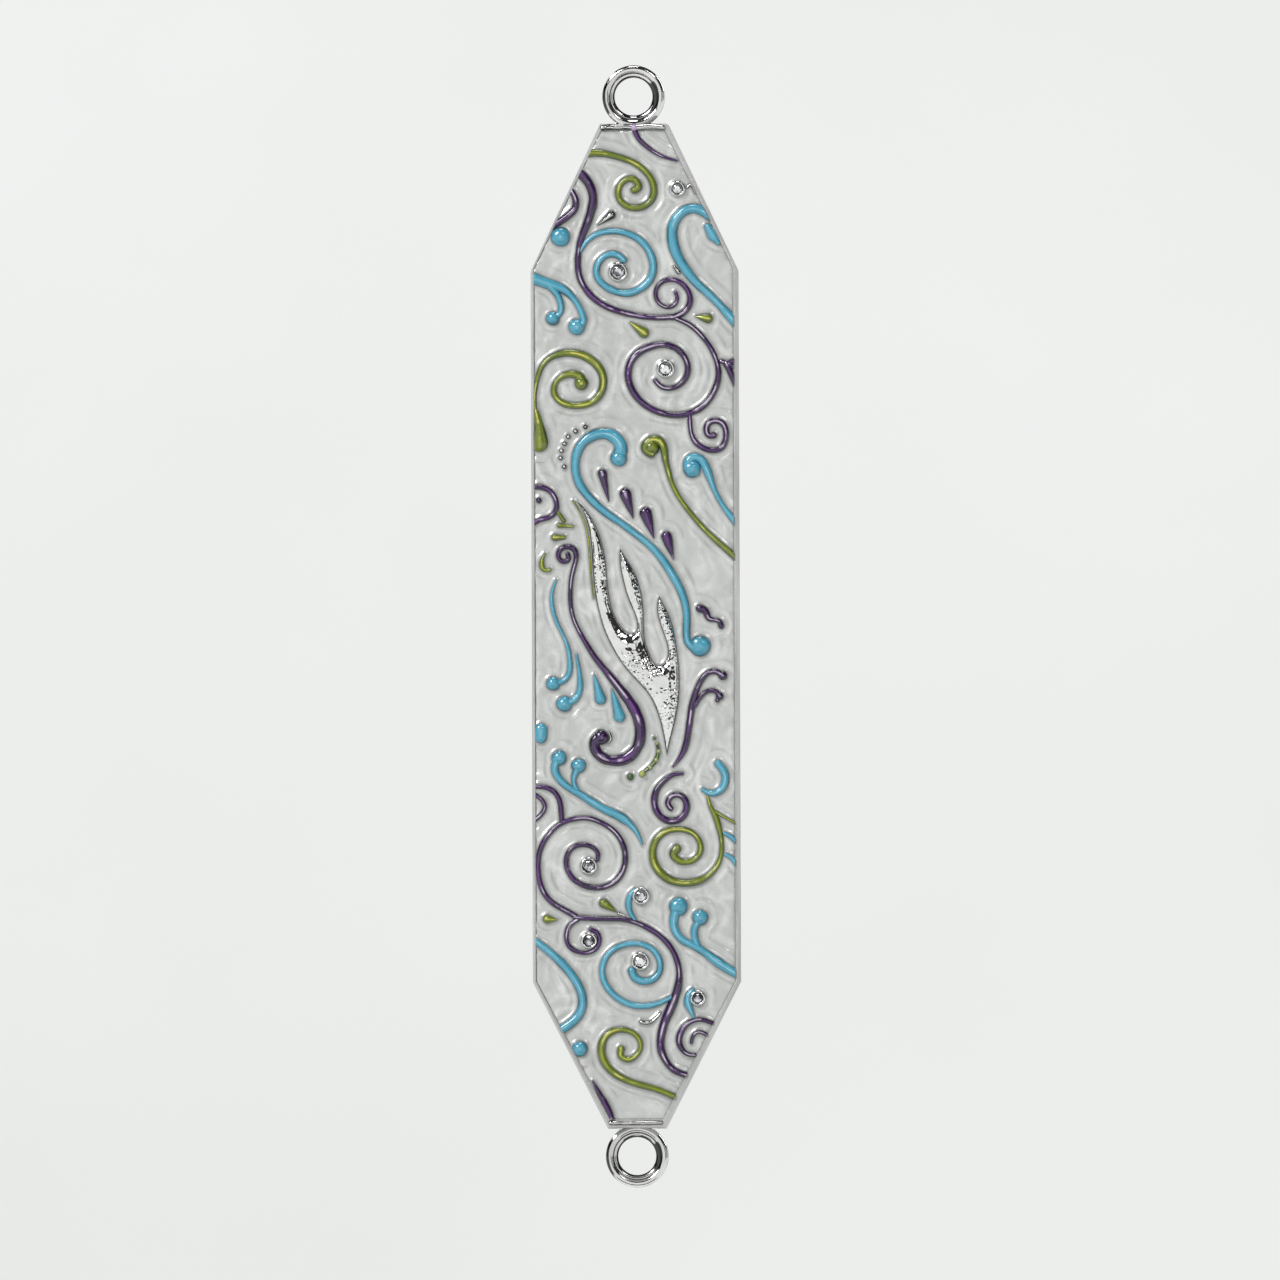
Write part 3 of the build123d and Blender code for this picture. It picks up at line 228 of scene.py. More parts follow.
GREEN_WORK = {
    "green_upper_spiral": [
        band((0.75, 0.6, 0.55, 0.65, 0.6, 0.55, 0.7), -5.6, 53.4, -3.5, 53.4, -2.3, 53.15, -1.1, 52.8,
            0.1, 52.3, 1.2, 51.5, 2, 50.5, 2.35, 49.3, 2.1, 48.2, 1.3, 47.45, 0.2, 47.2, -0.9, 47.5,
            -1.6, 48.3, -1.65, 49.4, -1.1, 50.2, -0.2, 50.5, 0.4, 50.15, 0.6, 49.55, 0.15, 49.25),
    ],
    "green_left_volute": [
        band((0.35, 0.35, 0.5, 0.75, 0.75, 0.65, 0.6, 0.5, 0.9), -11, 23.2, -11.2, 24.8, -11.2, 26.4,
            -10.95, 27.8, -10.5, 29.1, -9.8, 30, -8.7, 30.6, -7.3, 30.8, -5.9, 30.55, -4.6, 29.8, -3.7, 28.7,
            -3.45, 27.5, -3.8, 26.2, -4.7, 25.25, -6, 24.85, -7.4, 24.9, -8.55, 25.45, -9.05, 26.4,
            -8.8, 27.5, -8, 28.2, -7, 28.4, -6.2, 28.1, -5.8, 27.4),
        disc(-5.95, 27.35, 0.8), band((1.6, 1, 0.5), -10.7, 20.6, -10.75, 22.2, -11.1, 24.2),
    ],
    "green_middle_curl": [
        band((0.8, 0.8, 0.55, 0.45, 0.45, 0.5, 0.55, 0.65), 1.9, 19.4, 1.3, 19.9, 1.5, 20.6, 2.2, 20.95,
            2.95, 20.7, 3.35, 20, 3.5, 19, 3.8, 17.6, 4.2, 16.2, 4.9, 14.7, 5.9, 13.2, 7.1, 11.7, 8.4, 10.3,
            9.7, 9.1, 11.9, 7.2),
        disc(2, 20, 0.9),
    ],
    "green_right_volute": [
        band((0.25, 0.6, 0.4, 0.5, 0.68, 0.75, 0.72, 0.62, 0.55, 0.5, 0.55, 0.8), 8.2, -19.5, 8.5, -20.6,
            9, -21.6, 9.4, -22.8, 9.7, -24.2, 9.75, -25.6, 9.4, -27, 8.5, -28.2, 7.2, -29, 5.7, -29.25,
            4.1, -29, 2.8, -28.1, 2.05, -26.8, 2, -25.3, 2.65, -24, 3.8, -23.3, 5.2, -23.2, 6.5, -23.65,
            7.25, -24.6, 7.3, -25.8, 6.7, -26.6, 5.7, -26.9, 4.7, -26.6, 4.3, -25.9, 4.65, -25.4),
        band((0.35, 0.24, 0.26), 9, -21.2, 10, -21.8, 11.9, -22.8),
    ],
    "green_lower_spiral": [
        band((0.55, 0.55, 0.62, 0.72, 0.66, 0.5, 0.45, 0.65), 4.8, -53.7, 2.8, -52.8, 1.2, -52.3, -0.5, -51.8,
            -2, -51.1, -3.2, -50.1, -3.85, -48.8, -3.85, -47.4, -3.2, -46.35, -2, -45.85, -0.7, -46.05,
            0.25, -46.8, 0.5, -47.9, -0.1, -48.85, -1.05, -49.2, -1.75, -48.75, -1.7, -48.05),
    ],
    "green_leaves": [
        drop((1.15, 33.05), 0.48, (-0.4, 34.2)), drop((8.4, 34.65), 0.45, (7, 34.9)),
        band((0.16, 0.2, 0.14), -6.9, 14, -6, 12.5, -5.37, 10.6, -5.07, 8, -4.88, 5.2, -4.65, 3),
        band((0.35, 0.4), -8.6, 12.7, -8, 11.8), band((0.45, 0.25), -8.5, 11.25, -7, 11.15),
        band((0.65, 0.4), -9, 9.9, -8, 9.9),
        band((0.2, 0.55, 0.3), -10.15, 8, -10.5, 7, -10.3, 6.3, -9.6, 6.2),
        drop((-10, -33.3), 0.4, (-8.9, -33.4)), drop((-3.6, -31.55), 0.42, (-2.1, -32.55)),
    ],
}
DARK_GREEN_WORK = {
    "green_beads": [
        disc(2.2, -12.9, 0.2),
        band((0.25, 0.4, 0.25), 2.45, -13.5, 2.6, -14.4, 2.3, -15.4, 1.6, -16.2, 0.75, -16.85),
        disc(-0.55, -17.25, 0.42),
    ],
}
# Small raised details that are left bare: a chain of beads, a leaf and short tendrils.
SILVER_BEADS = (
    (-5.5, 22.4), (-6.6, 21.9), (-7.45, 21.3), (-7.85, 20.5), (-8.2, 19.7), (-8.3, 18.9), (-7.9, 17.9)
)
SILVER_WORK = {
    "silver_beads": [disc(x, z, 0.27) for x, z in SILVER_BEADS],
    "silver_tendrils": [
        drop((-2.5, 46.4), 0.38, (-4, 45.3)), band((0.2, 0.3, 0.2), 6.1, 49.5, 6.5, 49.8, 7, 48.9),
        band((0.25, 0.4), 4.65, 40.5, 5.1, 39.9),
        band((0.2, 0.25, 0.35), 2.75, -44, 2.2, -44.6, 1.5, -45.05, 0.6, -45),
        band((0.3, 0.2), -1.9, -32.7, -1.2, -33),
        band((0.25, 0.3, 0.2), -2.9, -12.3, -2.75, -12.9, -3.05, -13.4),
    ],
}
PALE_BEADS = (  # x, z, radius; drops in a row on the short dark stroke beside the emblem's foot
    (2.5, -13.5, 0.22), (2.65, -14.35, 0.3), (2.4, -15.35, 0.28), (1.7, -16.2, 0.3), (0.8, -16.9, 0.45)
)
SPRIG_ROOT = ((0.15, 56.3, 0.5),)  # the purple sprig starts as a thin wash of enamel on the top lip
CRYSTALS = (  # x, z, radius of each stone
    (5.0, 49.35, 0.62), (-1.75, 39.95, 0.8), (3.6, 28.95, 0.75), (-5.3, -27.3, 0.7),
    (0.6, -30.7, 0.7), (-5.3, -35.75, 0.65), (0.5, -38.1, 0.75), (7.0, -42.3, 0.6),
)


# --- curves ---
def smooth_path(points, step):
    """Places and headings every step along a smooth curve through the points."""
    given = np.array(points, dtype=float)
    knots = np.concatenate([[0], np.cumsum(np.hypot(*np.diff(given, axis=0).T))])
    gaps = np.diff(knots)
    count = len(given)
    system = np.zeros((count, count))
    right = np.zeros((count, 2))
    system[0, 0] = system[-1, -1] = 1
    for i in range(1, count - 1):
        system[i, i - 1 : i + 2] = gaps[i - 1], 2 * (gaps[i - 1] + gaps[i]), gaps[i]
        right[i] = 6 * ((given[i + 1] - given[i]) / gaps[i] - (given[i] - given[i - 1]) / gaps[i - 1])
    bend = np.linalg.solve(system, right)
    at = np.linspace(0, knots[-1], max(int(knots[-1] / step), 6) + 1)
    i = np.clip(np.searchsorted(knots, at) - 1, 0, count - 2)
    gap, before, after = gaps[i][:, None], (at - knots[i])[:, None], (knots[i + 1] - at)[:, None]
    rise = (given[i + 1] - given[i]) / gap - gap / 6 * (bend[i + 1] - bend[i])
    places = given[i] + rise * before
    places += (bend[i] * (after**3 - gap**3 + 3 * gap**2 * before) + bend[i + 1] * before**3) / (6 * gap)
    places -= bend[i] * gap * before / 2
    headings = np.gradient(places, at, axis=0)
    headings /= np.hypot(*headings.T)[:, None]
    return places, headings


def band_stations(stroke):
    """Centre line, headings and half widths of a stroke, with a hand-made unevenness in its width."""
    places, headings = smooth_path(stroke["points"], BAND_STEP)
    share = np.linspace(0, 1, len(places))
    widths = np.interp(share, np.linspace(0, 1, len(stroke["widths"])), stroke["widths"])
    wobble = [noise.noise(Vector((x * 0.9, z * 0.9, 3.0))) for x, z in places]
    return places, headings, widths / 2 * STROKE_WEIGHT * (1 + 0.1 * np.array(wobble))


# --- meshes ---
class Build:
    """Collects vertices (x, height off the enamel, z, crest) and faces, and turns them into an object."""

    def __init__(self):
        self.verts, self.crests, self.faces = [], [], []

    def add(self, verts, crests, faces):
        start = len(self.verts)
        self.verts += verts
        self.crests += crests
        self.faces += [tuple(start + i for i in face) for face in faces]

    def object(self, name, material, body="case", plane=FACE):
        mesh = bpy.data.meshes.new(name)
        mesh.from_pydata([(x * MM, (plane - h) * MM, z * MM) for x, h, z in self.verts], [], self.faces)
        crest = mesh.attributes.new("crest", "FLOAT", "POINT")
        crest.data.foreach_set("value", self.crests)
        return dressed(mesh, name, material, body)


def placed(name, data, place=(0, 0, 0), faces=None, front="Z"):
    """An object at its place, with its front axis turned to face a point if one is given."""
    item = bpy.data.objects.new(name, data)
    item.location = place
    if faces:
        item.rotation_euler = (Vector(faces) - Vector(place)).to_track_quat(front, "Y").to_euler()
    bpy.context.collection.objects.link(item)
    return item


def dressed(mesh, name, material, body):
    """A finished piece: outward normals, smooth shading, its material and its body."""
    work = bmesh.new()
    work.from_mesh(mesh)
    bmesh.ops.recalc_face_normals(work, faces=work.faces)
    work.to_mesh(mesh)
    work.free()
    mesh.shade_smooth()
    mesh.materials.append(material)
    piece = placed(name, mesh)
    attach(piece, body)
    return piece


def tube_faces(rings, size):
    """Quads between rings of vertices, each ring closed on itself."""
    faces = []
    for i in range(rings - 1):
        for j in range(size):
            k = (j + 1) % size
            faces.append((i * size + j, i * size + k, (i + 1) * size + k, (i + 1) * size + j))
    return faces


def wall_faces(rim, foot):
    """Quads from a closed rim to its copy, which starts at foot, and the face that closes the copy."""
    count = len(rim)
    faces = [(rim[k], rim[(k + 1) % count], foot + (k + 1) % count, foot + k) for k in range(count)]
    return faces + [tuple(foot + k for k in range(count))]


def around(radius, turn, centre=(0, 0)):
    return centre[0] + radius * math.cos(turn), centre[1] + radius * math.sin(turn)


def add_band(build, stroke, top=STROKE_TOP):
    """A half-round bead along a stroke, with round ends."""
    places, headings, halves = band_stations(stroke)
    sections = [(places[i], headings[i], halves[i], 1.0) for i in range(len(places))]
    for end, way in ((0, -1), (-1, 1)):
        caps = []
        for k in range(1, CAP_STEPS + 1):
            turn = math.pi / 2 * k / (CAP_STEPS + 0.15)
            centre = places[end] + way * headings[end] * halves[end] * math.sin(turn)
            caps.append((centre, headings[end], halves[end] * math.cos(turn), math.cos(turn)))
        sections = caps[::-1] + sections if way < 0 else sections + caps
    verts, crests = [], []
    for centre, heading, half, share in sections:
        across = np.array([-heading[1], heading[0]])
        lift = min(top, 0.18 + 0.8 * half / share) * share**0.7
        lift *= 1 + 0.08 * noise.noise(Vector((centre[0] * 0.6, centre[1] * 0.6, 8.0)))
        for j in range(BAND_PROFILE + 1):
            angle = math.pi * j / BAND_PROFILE
            x, z = centre + across * half * math.cos(angle)
            verts.append((x, lift * math.sin(angle) ** 0.9, z))
            # crest is 1 on top of the bead and 0 at its foot; the materials paint shade where it is low and
            # light where it is high
            crests.append((1 - abs(math.cos(angle))) * share)
        for side in (-1, 1):
            x, z = centre + across * half * side
            verts.append((x, -SINK, z))
            crests.append(0.0)
    size = BAND_PROFILE + 3
    faces = tube_faces(len(sections), size)
    last = (len(sections) - 1) * size
    faces += [tuple(range(size)), tuple(last + j for j in range(size))]
    build.add(verts, crests, faces)


def add_dome(build, centre, radius, top=None, rings=8, sides=28):
    """A round drop of enamel."""
    lift = min(0.2 + 0.62 * radius, 0.72) if top is None else top
    verts, crests = [], []
    for i in range(rings + 1):
        angle = math.pi / 2 * i / (rings + 0.4)
        for j in range(sides):
            turn = 2 * math.pi * j / sides
            reach = radius * math.cos(angle) * (1 + 0.03 * math.sin(3 * turn + centre[0]))
            x, z = around(reach, turn, centre)
            verts.append((x, lift * math.sin(angle), z))
            # crest rises from 0 at the dome's foot to 1 on top; the materials paint shade where it is low
            crests.append(1 - math.cos(angle))
    verts += [(x, -SINK, z) for x, _, z in verts[:sides]]
    faces = tube_faces(rings + 1, sides) + wall_faces(range(sides), (rings + 1) * sides)
    faces.append(tuple(rings * sides + j for j in range(sides)))
    build.add(verts, crests + [0.0] * sides, faces)


def outline_of(node):
    """The corners of a flat node's drawing, in order, in millimetres."""
    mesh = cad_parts[node].data
    front = min(v.co.y for v in mesh.vertices)
    spots, uses = {}, {}
    for polygon in mesh.polygons:
        corners = [mesh.vertices[i].co for i in polygon.vertices]
        if all(abs(c.y - front) < 1e-6 for c in corners):
            keys = [(round(c.x / MM, 4), round(c.z / MM, 4)) for c in corners]
            for a, b in zip(keys, keys[1:] + keys[:1]):
                uses[frozenset((a, b))] = uses.get(frozenset((a, b)), 0) + 1
                spots[(a, b)] = True
    follow = {a: b for a, b in spots if uses[frozenset((a, b))] == 1}
    start = next(iter(follow))
    loop, here = [start], follow[start]
    while here != start:
        loop.append(here)
        here = follow[here]
    return loop


def fine_loop(node, spacing):
    """Points about spacing apart all round a flat node's outline."""
    outline = [np.array(p) for p in outline_of(node)]
    loop = []
    for a, b in zip(outline, outline[1:] + outline[:1]):
        steps = max(int(math.dist(a, b) / spacing), 1)
        loop += [tuple(a + (b - a) * k / steps) for k in range(steps)]
    return loop


def corners_only(loop):
    """The loop without the points that lie on a straight side."""
    kept = []
    for i in range(len(loop)):
        a, b, c = (np.array(loop[(i + k) % len(loop)]) for k in (-1, 0, 1))
        if abs(np.cross(b - a, c - b)) > 1e-3:
            kept.append(tuple(b))
    return kept


PANEL = corners_only(outline_of("pearl_enamel"))


def clip_to_panel(piece):
    """Cuts off what runs past the edge of the enamel, and closes the cuts."""
    work = bmesh.new()
    work.from_mesh(piece.data)
    for i in range(len(PANEL)):
        a, b = np.array(PANEL[i]), np.array(PANEL[(i + 1) % len(PANEL)])
        side = (b - a) / np.hypot(*(b - a))
        out = np.array([side[1], -side[0]])
        if out @ a < 0:
            out = -out
        limit = (out @ a - 0.01) * MM
        if all(v.co.x * out[0] + v.co.z * out[1] <= limit for v in work.verts):
            continue
        everything = work.verts[:] + work.edges[:] + work.faces[:]
        way = Vector((out[0], 0, out[1]))
        bmesh.ops.bisect_plane(work, geom=everything, plane_co=way * limit, plane_no=way, clear_outer=True)
        bmesh.ops.holes_fill(work, edges=[e for e in work.edges if e.is_boundary], sides=0)
    work.to_mesh(piece.data)
    work.free()


# --- the pearl enamel ---
def relief_samples(drawings):
    """(x, z, half width) at every spot where something rises out of the pearl enamel."""
    samples = []
    for shapes in drawings.values():
        for shape in shapes:
            if "points" in shape:
                places, _, halves = band_stations(shape)
                samples += [(x, z, half) for (x, z), half in zip(places, halves)]
            else:
                samples.append((*shape["centre"], shape["radius"]))
    samples += [(x, z, radius + BEZEL) for x, z, radius in CRYSTALS]
    return samples + [(x, z, 0.0) for x, z in fine_loop("shin_emblem", 0.1)]


def panel_half_width(z):
    """Half the panel's width at each height; the panel is symmetric about x = 0."""
    right = sorted((c for c in PANEL if c[0] > 0), key=lambda c: c[1])
    return np.interp(z, [c[1] for c in right], [c[0] for c in right])


def pearl_ground(drawings, material):
    heights = np.array([c[1] for c in PANEL])
    rows = int((heights.max() - heights.min()) / GROUND_STEP)
    columns = int(2 * max(c[0] for c in PANEL) / GROUND_STEP)
    z = np.linspace(heights.min(), heights.max(), rows + 1)
    share = np.linspace(-1, 1, columns + 1)
    grid_x = panel_half_width(z)[:, None] * share[None, :]
    grid_z = np.repeat(z[:, None], columns + 1, axis=1)
    near = np.full(grid_x.shape, 9.0)
    for x, height, half in relief_samples(drawings):
        reach = half + WAVE_AT + 3 * WAVE_WIDTH
        low, high = np.searchsorted(z, [height - reach, height + reach])
        found = np.hypot(grid_x[low:high] - x, grid_z[low:high] - height) - half
        np.minimum(near[low:high], found, out=near[low:high])
    climb = np.exp(-((np.maximum(near, 0) / SKIRT) ** 2))
    wave = np.exp(-(((near - WAVE_AT) / WAVE_WIDTH) ** 2))
    edge = panel_half_width(z)[:, None] - np.abs(grid_x)
    edge = np.minimum(edge, np.minimum(grid_z - z[0], z[-1] - grid_z))
    lift = SKIRT_RISE * climb - 0.1 * np.exp(-edge / 0.3)
    # this becomes the pearl enamel's crest attribute: where it gets painted shade, close to each stroke and
    # along the panel's edge
    climb = np.maximum(climb, 0.8 * np.exp(-((edge / 0.2) ** 2)))
    for i in range(rows + 1):
        for j in range(columns + 1):
            spot = Vector((grid_x[i, j], grid_z[i, j], 0))
            lift[i, j] += WAVE_RISE * wave[i, j] * (0.65 + 1.1 * noise.noise(spot * 0.45 + Vector((0, 0, 7))))
            lift[i, j] += 0.05 * noise.noise(spot * 0.35) + 0.025 * noise.noise(spot * 1.1)
    build = Build()
    verts = np.stack([grid_x, lift, grid_z], axis=-1).reshape(-1, 3).tolist()
    width = columns + 1
    faces = [
        (i * width + j, i * width + j + 1, (i + 1) * width + j + 1, (i + 1) * width + j)
        for i in range(rows)
        for j in range(columns)
    ]
    border = list(range(columns)) + [i * width + columns for i in range(rows)]
    border += [rows * width + j for j in range(columns, 0, -1)] + [i * width for i in range(rows, 0, -1)]
    foot = len(verts)
    verts += [(verts[k][0], FACE - RECESS, verts[k][2]) for k in border]
    build.add(verts, climb.reshape(-1).tolist() + [0.0] * len(border), faces + wall_faces(border, foot))
    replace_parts(build.object("pearl_ground", material), "pearl_enamel")


# --- raised work ---
def raised_work(work, material):
    for name, shapes in work.items():
        build = Build()
        for shape in shapes:
            if "points" in shape:
                add_band(build, shape)
            else:
                add_dome(build, shape["centre"], shape["radius"])
        piece = build.object(name + "_bead", material)
        clip_to_panel(piece)
        piece.data.shade_smooth()
        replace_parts(piece, name)


def inside(points, loop):
    """Which of the points lie within the closed loop."""
    x, z = points[:, 0], points[:, 1]
    hit = np.zeros(len(points), dtype=bool)
    for (ax, az), (bx, bz) in zip(loop, loop[1:] + loop[:1]):
        if az != bz:
            hit ^= ((az > z) != (bz > z)) & (x < (bx - ax) * (z - az) / (bz - az) + ax)
    return hit


def emblem(material):
    """The three flames: a cast ridge that falls away to a bevelled edge, dimpled by a small hammer."""
    loop = fine_loop("shin_emblem", EMBLEM_STEP)
    edge = np.array(loop)
    low, high = edge.min(axis=0), edge.max(axis=0)
    row = EMBLEM_STEP * 0.866  # the grid's triangles are equilateral
    grid = np.array([
        (low[0] + (i + 0.5 * (j % 2)) * EMBLEM_STEP, low[1] + j * row)
        for j in range(int((high[1] - low[1]) / row))
        for i in range(int((high[0] - low[0]) / EMBLEM_STEP))
    ])
    grid = grid[inside(grid, loop)]
    reach = np.array([np.hypot(*(edge - p).T).min() for p in grid])
    grid, reach = grid[reach > 0.45 * EMBLEM_STEP], reach[reach > 0.45 * EMBLEM_STEP]
    points = [Vector(p) for p in loop] + [Vector(p) for p in grid]
    ring = [(k, (k + 1) % len(loop)) for k in range(len(loop))]
    flat, _, triangles, _, _, _ = delaunay_2d_cdt(points, ring, [], 1, 1e-6)
    away = np.array([np.hypot(*(edge - np.array(p)).T).min() for p in flat])
    verts, crests = [], []
    for p, d in zip(flat, away):
        # crest falls to 0 at the edge, where the material paints a dark outline of shade
        crests.append(min(d / 0.2, 1.0))
        lift = EMBLEM_TOP * (0.25 + 0.4 * (1 - math.exp(-d / 0.16)) + 0.35 * min(d / 1.2, 1))
        blow = noise.noise(Vector((p.x * 0.9, p.y * 0.9, 5.0)))
        blow += 0.4 * noise.noise(Vector((p.x * 2.6, p.y * 2.6, 1.0)))
        verts.append((p.x, lift + 0.08 * blow * min(d / 0.8, 1), p.y))
    build = Build()
    foot = len(verts)
    index = {(round(p.x, 5), round(p.y, 5)): k for k, p in enumerate(flat)}
    rim = [index[(round(x, 5), round(z, 5))] for x, z in (tuple(Vector(p)) for p in loop)]
    verts += [(verts[k][0], -SINK, verts[k][2]) for k in rim]
    faces = [tuple(t) for t in triangles] + wall_faces(rim, foot)
    build.add(verts, crests + [0.0] * len(rim), faces)
    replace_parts(build.object("three_flame_emblem", material), "shin_emblem")


# --- crystals ---
def add_ring(build, centre, profile, sides=40):
    """A turned ring: the profile's (radius, height, recess) points are closed on themselves; recess is how
    much painted shade the bright metal gets there.
    """
    verts = []
    for j in range(sides):
        for radius, height, _ in profile:
            x, z = around(radius, 2 * math.pi * j / sides, centre)
            verts.append((x, height, z))
    size = len(profile)
    faces = []
    for here in range(0, sides * size, size):
        after = (here + size) % (sides * size)
        for i in range(size):
            k = (i + 1) % size
            faces.append((here + i, here + k, after + k, after + i))
    build.add(verts, [1 - recess for _, _, recess in profile] * sides, faces)


def settings(material):
    build = Build()
    for x, z, radius in CRYSTALS:
        outer = radius + BEZEL + 0.06
        # painted shade in the groove round the stone and at the bezel's foot, where recess is 1
        profile = [(outer + 0.05, -SINK, 1), (outer + 0.02, 0.1, 1), (outer, 0.3, 0)]
        profile += [(outer - 0.06, SETTING_TOP, 0), (radius + 0.05, SETTING_TOP, 0)]
        profile += [(radius, SETTING_TOP - 0.1, 0.9), (radius - 0.1, 0.36, 1)]
        profile += [(radius - 0.02, 0.2, 1), (radius - 0.02, -SINK, 1)]
        add_ring(build, (x, z), profile)
        for k in range(4):
            grain = around(radius + 0.04, math.pi / 4 + k * math.pi / 2, (x, z))
            add_dome(build, grain, 0.14, top=SETTING_TOP + 0.1, rings=5, sides=12)
    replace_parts(build.object("stone_bezels", material), "crystal_settings")


def crystals(material):
    """Brilliant-cut stones: an octagonal table, facets down to the girdle, and a pointed pavilion."""
    build = Build()
    for index, (x, z, radius) in enumerate(CRYSTALS):
        levels = ((0.5, 0.74, 0.5, 8), (0.8, 0.62, 0.0, 8), (0.98, 0.45, 0.5, 16), (0.98, 0.4, 0.5, 16))
        rings, verts = [], []
        for reach, height, shift, sides in levels:
            start = len(verts)
            for j in range(sides):
                turn = 2 * math.pi * (j + shift) / sides + 0.4 * index
                corner = around(radius * reach, turn, (x, z))
                verts.append((corner[0], height, corner[1]))
            rings.append(range(start, start + sides))
        tip = len(verts)
        verts.append((x, 0.02, z))
        table, star, girdle, belt = rings
        faces = [tuple(table)]
        for j in range(8):
            k = (j + 1) % 8
            faces += [(table[j], star[k], table[k]), (table[j], star[j], star[k])]
            faces.append((star[j], girdle[2 * j - 1], girdle[2 * j]))
            faces.append((star[j], girdle[2 * j], girdle[2 * j + 1], star[k]))
        for j in range(16):
            k = (j + 1) % 16
            faces += [(girdle[j], belt[j], belt[k], girdle[k]), (belt[j], tip, belt[k])]
        build.add(verts, [0.0] * len(verts), faces)
    piece = build.object("brilliants", material)
    piece.data.shade_flat()
    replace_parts(piece, "crystals")


# --- case, eyes, cover ---
def softened(node, name, width, material, body):
    """The node's own shape with its sharp edges rounded over."""
    work = bmesh.new()
    work.from_mesh(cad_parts[node].data)
    bmesh.ops.remove_doubles(work, verts=work.verts, dist=1e-6)
    bmesh.ops.dissolve_limit(work, angle_limit=math.radians(1), verts=work.verts, edges=work.edges)
    sharp = [e for e in work.edges if len(e.link_faces) == 2 and e.calc_face_angle(0) > math.radians(25)]
    bmesh.ops.bevel(
        work, geom=sharp, offset=width * MM, segments=3, profile=0.6, affect="EDGES", clamp_overlap=True,
        harden_normals=False,
    )
    mesh = bpy.data.meshes.new(name)
    work.to_mesh(mesh)
    work.free()
    piece = dressed(mesh, name, material, body)
    piece.modifiers.new("weighted", "WEIGHTED_NORMAL").keep_sharp = False
    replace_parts(piece, node)


def eye_ring(node, name, side, material):
    """A cast eye: a stout ring with a bevelled mouth, on a foot that flares into the end of the case."""
    low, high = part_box(node)
    plane = (low.y + high.y) / 2 / MM
    tip = (high.z if side > 0 else -low.z) / MM
    centre = side * (tip - EYE_OUTER)
    half = (high.y - low.y) / 2 / MM
    # the third number of each point is how much painted shade and dark reflection the bright metal gets there
    front = [(2.15, 0.0, 0.2), (2.15, 0.45, 0.5), (2.2, 0.6, 1), (2.3, 0.68, 1), (2.38, 0.72, 0.2)]
    front += [(2.56, 0.78, 0), (2.62, 0.77, 0.6), (2.66, 0.75, 1), (2.7, 0.78, 0.7)]
    for turn in np.linspace(2.7, 0.6, 9):
        front.append((3.1 + 0.42 * math.cos(turn), half * (0.7 + 0.3 * math.sin(turn)), 0))
    front += [(EYE_OUTER - 0.02, 0.6 * half, 0.5), (EYE_OUTER, 0.3 * half, 0.75)]
    section = front + [(r, -h, recess) for r, h, recess in front[:0:-1]]
    build = Build()
    sides = 120
    add_ring(build, (0, centre), section, sides)
    for k in range(len(build.crests)):  # painted dark reflections: the outside darkened on the left, the inside on the right
        lean, radius = math.cos(2 * math.pi * (k // len(section)) / sides), section[k % len(section)][0]
        away = -lean if radius > 3.25 else lean if radius < 2.9 else 0
        build.crests[k] *= 1 - min(max(4 * (away - 0.68), 0), 0.9)
    start = abs(centre) - EYE_OUTER
    verts, crests, rings, sides = [], [], 12, 40
    for i in range(rings):
        share = i / (rings - 1)
        flare = (1 - share) ** 2.2
        wide, deep = 1.9 + 1.1 * flare, 0.72 + 0.45 * flare
        for j in range(sides):
            turn = 2 * math.pi * j / sides
            c, s = math.cos(turn), math.sin(turn)
            x = wide * math.copysign(abs(c) ** 0.5, c)
            y = deep * math.copysign(abs(s) ** 0.6, s)
            verts.append((x, y, side * (start - 0.2 + 1.45 * share)))
            # painted shade: the foot is darkened where it meets the case
            crests.append(0.1 if share < 0.3 else 0.9)
    faces = tube_faces(rings, sides)
    faces += [tuple(range(sides)), tuple((rings - 1) * sides + j for j in range(sides))]
    build.add(verts, crests, faces)
    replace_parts(build.object(name, material, plane=plane), node)


def domes(name, spots, material, slot, **shape):
    """One piece made of a dome at each (x, z, radius) of spots."""
    build = Build()
    for x, z, radius in spots:
        add_dome(build, (x, z), radius, **shape)
    build.object(name, material)


def end_lips(material):
    """The rounded, lumpy lip that the casting has across each end, in front of its eye."""
    build = Build()
    for lip in (
        band((0.5, 0.56, 0.5, 0.56, 0.44), -3.45, 56.3, -1.5, 56.4, 0.5, 56.36, 2.0, 56.42, 3.4, 56.3),
        band((0.42, 0.36, 0.42, 0.36), -2.9, -56.36, -1.0, -56.42, 1.0, -56.38, 2.8, -56.36),
    ):
        add_band(build, lip, top=0.42)
    for x, z, radius in ((-3.1, 56.35, 0.24), (-2.65, 56.45, 0.2), (-2.3, 56.3, 0.22), (-1.9, 56.42, 0.18)):
        add_dome(build, (x, z), radius, top=LIP_TOP, rings=5, sides=14)
    build.object("end_lips", material)


# --- the scroll ---
def wound_sheet(name, material, node, spiral, thickness):
    """A thin sheet wound about the scroll's axis, through the (turn, inner radius) stations of spiral."""
    low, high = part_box("scroll_parchment")
    centre = (low.x + high.x) / 2 / MM, (low.y + high.y) / 2 / MM
    low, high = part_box(node)
    verts = []
    for turn, radius in spiral:
        outer = radius + thickness
        for r, z in ((radius, low.z), (outer, low.z), (outer, high.z), (radius, high.z)):
            x, y = around(r, turn, centre)
            verts.append((x, -y, z / MM))
    last = (len(spiral) - 1) * 4
    faces = tube_faces(len(spiral), 4) + [(0, 1, 2, 3), tuple(range(last, last + 4))]
    build = Build()
    build.add(verts, [0.5] * len(verts), faces)
    piece = build.object(name, material, body="scroll", plane=0)
    piece.data.set_sharp_from_angle(angle=SHARP)
    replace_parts(piece, node)


